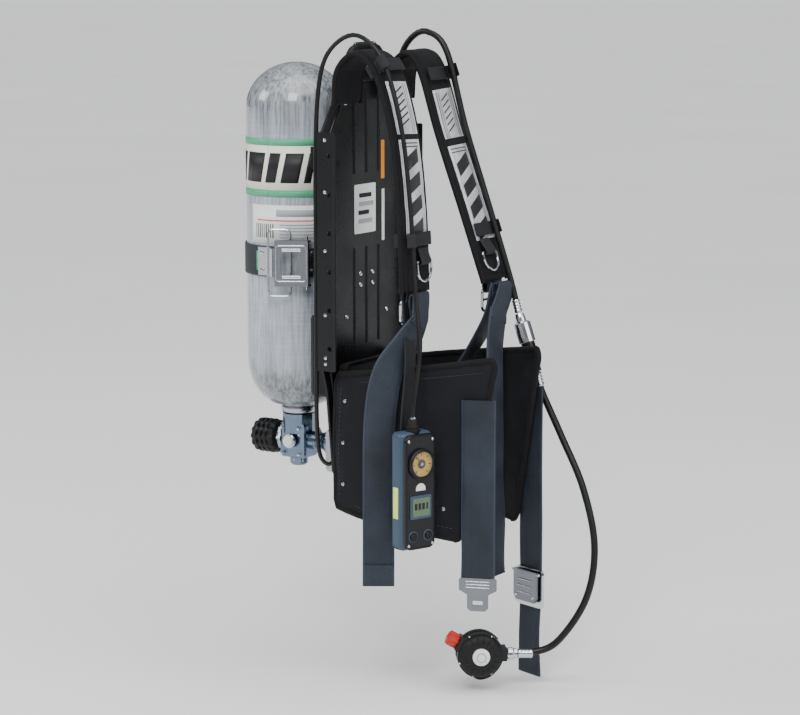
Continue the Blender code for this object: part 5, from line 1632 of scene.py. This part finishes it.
    # glow strip on the side, strain relief at the top, hanger at the back
    block("glow_strip", (0.0012, 0.010, 0.041), (-width / 2.0 - 0.0002, 0.0035, -0.015), GLOW,
          0.0004, place)
    relief = [(0.0, 0.0750), (0.0090, 0.0750), (0.0092, 0.0790), (0.0078, 0.0800), (0.0078, 0.0815),
              (0.0086, 0.0822), (0.0084, 0.0850), (0.0068, 0.0860), (0.0066, 0.0900), (0.0056, 0.0935),
              (0.0, 0.0935)]
    mesh_piece("console_relief", turned(relief, 48), RUBBER, matrix=place)
    back = case_front + depth
    end = Vector(PAD_ROUTES["right"][-1])
    hang = [place @ Vector((0.002, back + 0.0015, -0.030)), place @ Vector((0.002, back + 0.0015, 0.040)),
            place @ Vector((0.003, back + 0.002, 0.085)), (end + place @ Vector((0.0, back, 0.085))) / 2.0,
            end + Vector((-0.012, 0.006, 0.008))]
    strap("console_hanger", hang, [place.to_3x3() @ ACROSS, ACROSS], 0.022, SMALL_WEBBING,
          0.0018, 50)
    block("console_clip", (0.030, 0.004, 0.034), (0.002, back + 0.0032, 0.020), SATIN_BLACK,
          0.0014, place)


def build_regulator():
    """Regulator: ribbed cover, button, seam, fluted knob, outlet ring and lugs, screws and keeper."""
    axis = Vector(joint_named("purge_press")["axis"])
    place = frame_along(axis, centre("regulator_button") + axis * 0.01275)
    cover = [(0.0126, -0.0170), (0.0150, -0.0176), (0.0168, -0.0170), (0.0200, -0.0165), (0.0240, -0.0152),
             (0.0268, -0.0134), (0.0284, -0.0112), (0.0290, -0.0092), (0.0290, -0.0083), (0.0126, -0.0083)]
    mesh_piece("regulator_dome", closed_turned(cover, 96, "Y"), RUBBER, matrix=place,
               stands_for=["regulator_cover"])
    for step in range(18):
        turn = Matrix.Rotation(TAU * step / 18.0, 4, "Y")
        points = [place @ turn @ Vector((reach, rise, 0.0)) for reach, rise in
                  ((0.0185, -0.0168), (0.0225, -0.0160), (0.0258, -0.0143), (0.0278, -0.0122))]
        tube_piece("regulator_rib_%02d" % step, points, 0.0018, RUBBER)
    button = [(0.0, -0.0203), (0.0070, -0.0205), (0.0100, -0.0200), (0.0114, -0.0188), (0.0118, -0.0170),
              (0.0118, -0.0050), (0.0, -0.0050)]
    mesh_piece("purge_disc", turned(button, 64, "Y"), WHITE, "purge_button",
               ["regulator_button"], matrix=place)
    ring = [(0.0050, -0.0204), (0.0056, -0.0209), (0.0064, -0.0209), (0.0070, -0.0204)]
    mesh_piece("purge_ring", closed_turned(ring, 48, "Y"), GREY_PRINT, "purge_button",
               matrix=place)
    seam = [(0.0300, 0.0020), (0.0318, 0.0026), (0.0322, 0.0040), (0.0318, 0.0054), (0.0300, 0.0060)]
    ring = closed_turned(seam, 96, "Y")
    # the ring leaves out the swivel's side and one stretch at the lower left
    gone = [vert for vert in ring.verts
            if vert.co.x > 0.0262 or (vert.co.x < -0.0180 and vert.co.z < -0.0040)]
    bmesh.ops.delete(ring, geom=gone, context="VERTS")
    bmesh.ops.holes_fill(ring, edges=[edge for edge in ring.edges if edge.is_boundary], sides=0)
    mesh_piece("regulator_seam", ring, BLACK, matrix=place)
    for number, degrees in enumerate((60.0, 120.0, 200.0, 250.0, 300.0)):
        x, z = arc(0.02955, degrees, degrees, 1)[0]
        stud("regulator_screw_%d" % number, None, place @ Vector((x, -0.00788, z)), -axis, 0.0013)

    # bypass knob with ten flutes and a pointer
    turn = joint_named("bypass_turn")
    matrix = standing(turn["pos_m"], Vector(turn["axis"]))
    knob = [(0.0, 0.0004), (0.0090, 0.0004), (0.0096, 0.0016), (0.0096, 0.0125), (0.0088, 0.0142),
            (0.0070, 0.0150), (0.0, 0.0150)]
    mesh_piece("bypass_grip", turned(knob, 120, "Z", 0.0006, 10), RED, "red_knob",
               ["bypass_knob"], matrix=matrix)
    block("bypass_pointer", (0.0022, 0.0090, 0.0014), (0.0, 0.0030, 0.0152), RED, 0.0004,
          matrix, "red_knob")

    # outlet with a sealing ring and two bayonet lugs
    seal = [(0.0195, 0.0180), (0.0212, 0.0184), (0.0216, 0.0196), (0.0212, 0.0208), (0.0195, 0.0212)]
    mesh_piece("outlet_seal", closed_turned(seal, 72, "Y"), RUBBER, matrix=place)
    for number, sign in enumerate((-1.0, 1.0)):
        block("outlet_lug_%d" % number, (0.0030, 0.0045, 0.0110), (sign * 0.0214, 0.0262, 0.0), SATIN_BLACK,
              0.0008, place)
    tag = [place @ Vector((x, 0.004, z)) for x, z in
           ((-0.010, -0.0300), (0.0, -0.0345), (0.012, -0.0320), (0.020, -0.0262))]
    strap("regulator_keeper", tag, [axis], 0.012, SMALL_WEBBING, 0.0014, 24)


# ---------------------------------------------------------------- build
add_camera()
build_hoses()
build_cylinder()
for word, sign in (("right", -1.0), ("left", 1.0)):
    build_pad(word)
    build_straps(word)
    build_wing(word, sign)
build_lumbar()
build_belt()
build_carrier()
build_band()
build_valve()
build_reducer()
build_console()
build_regulator()
paint_kept_nodes()
add_stage()
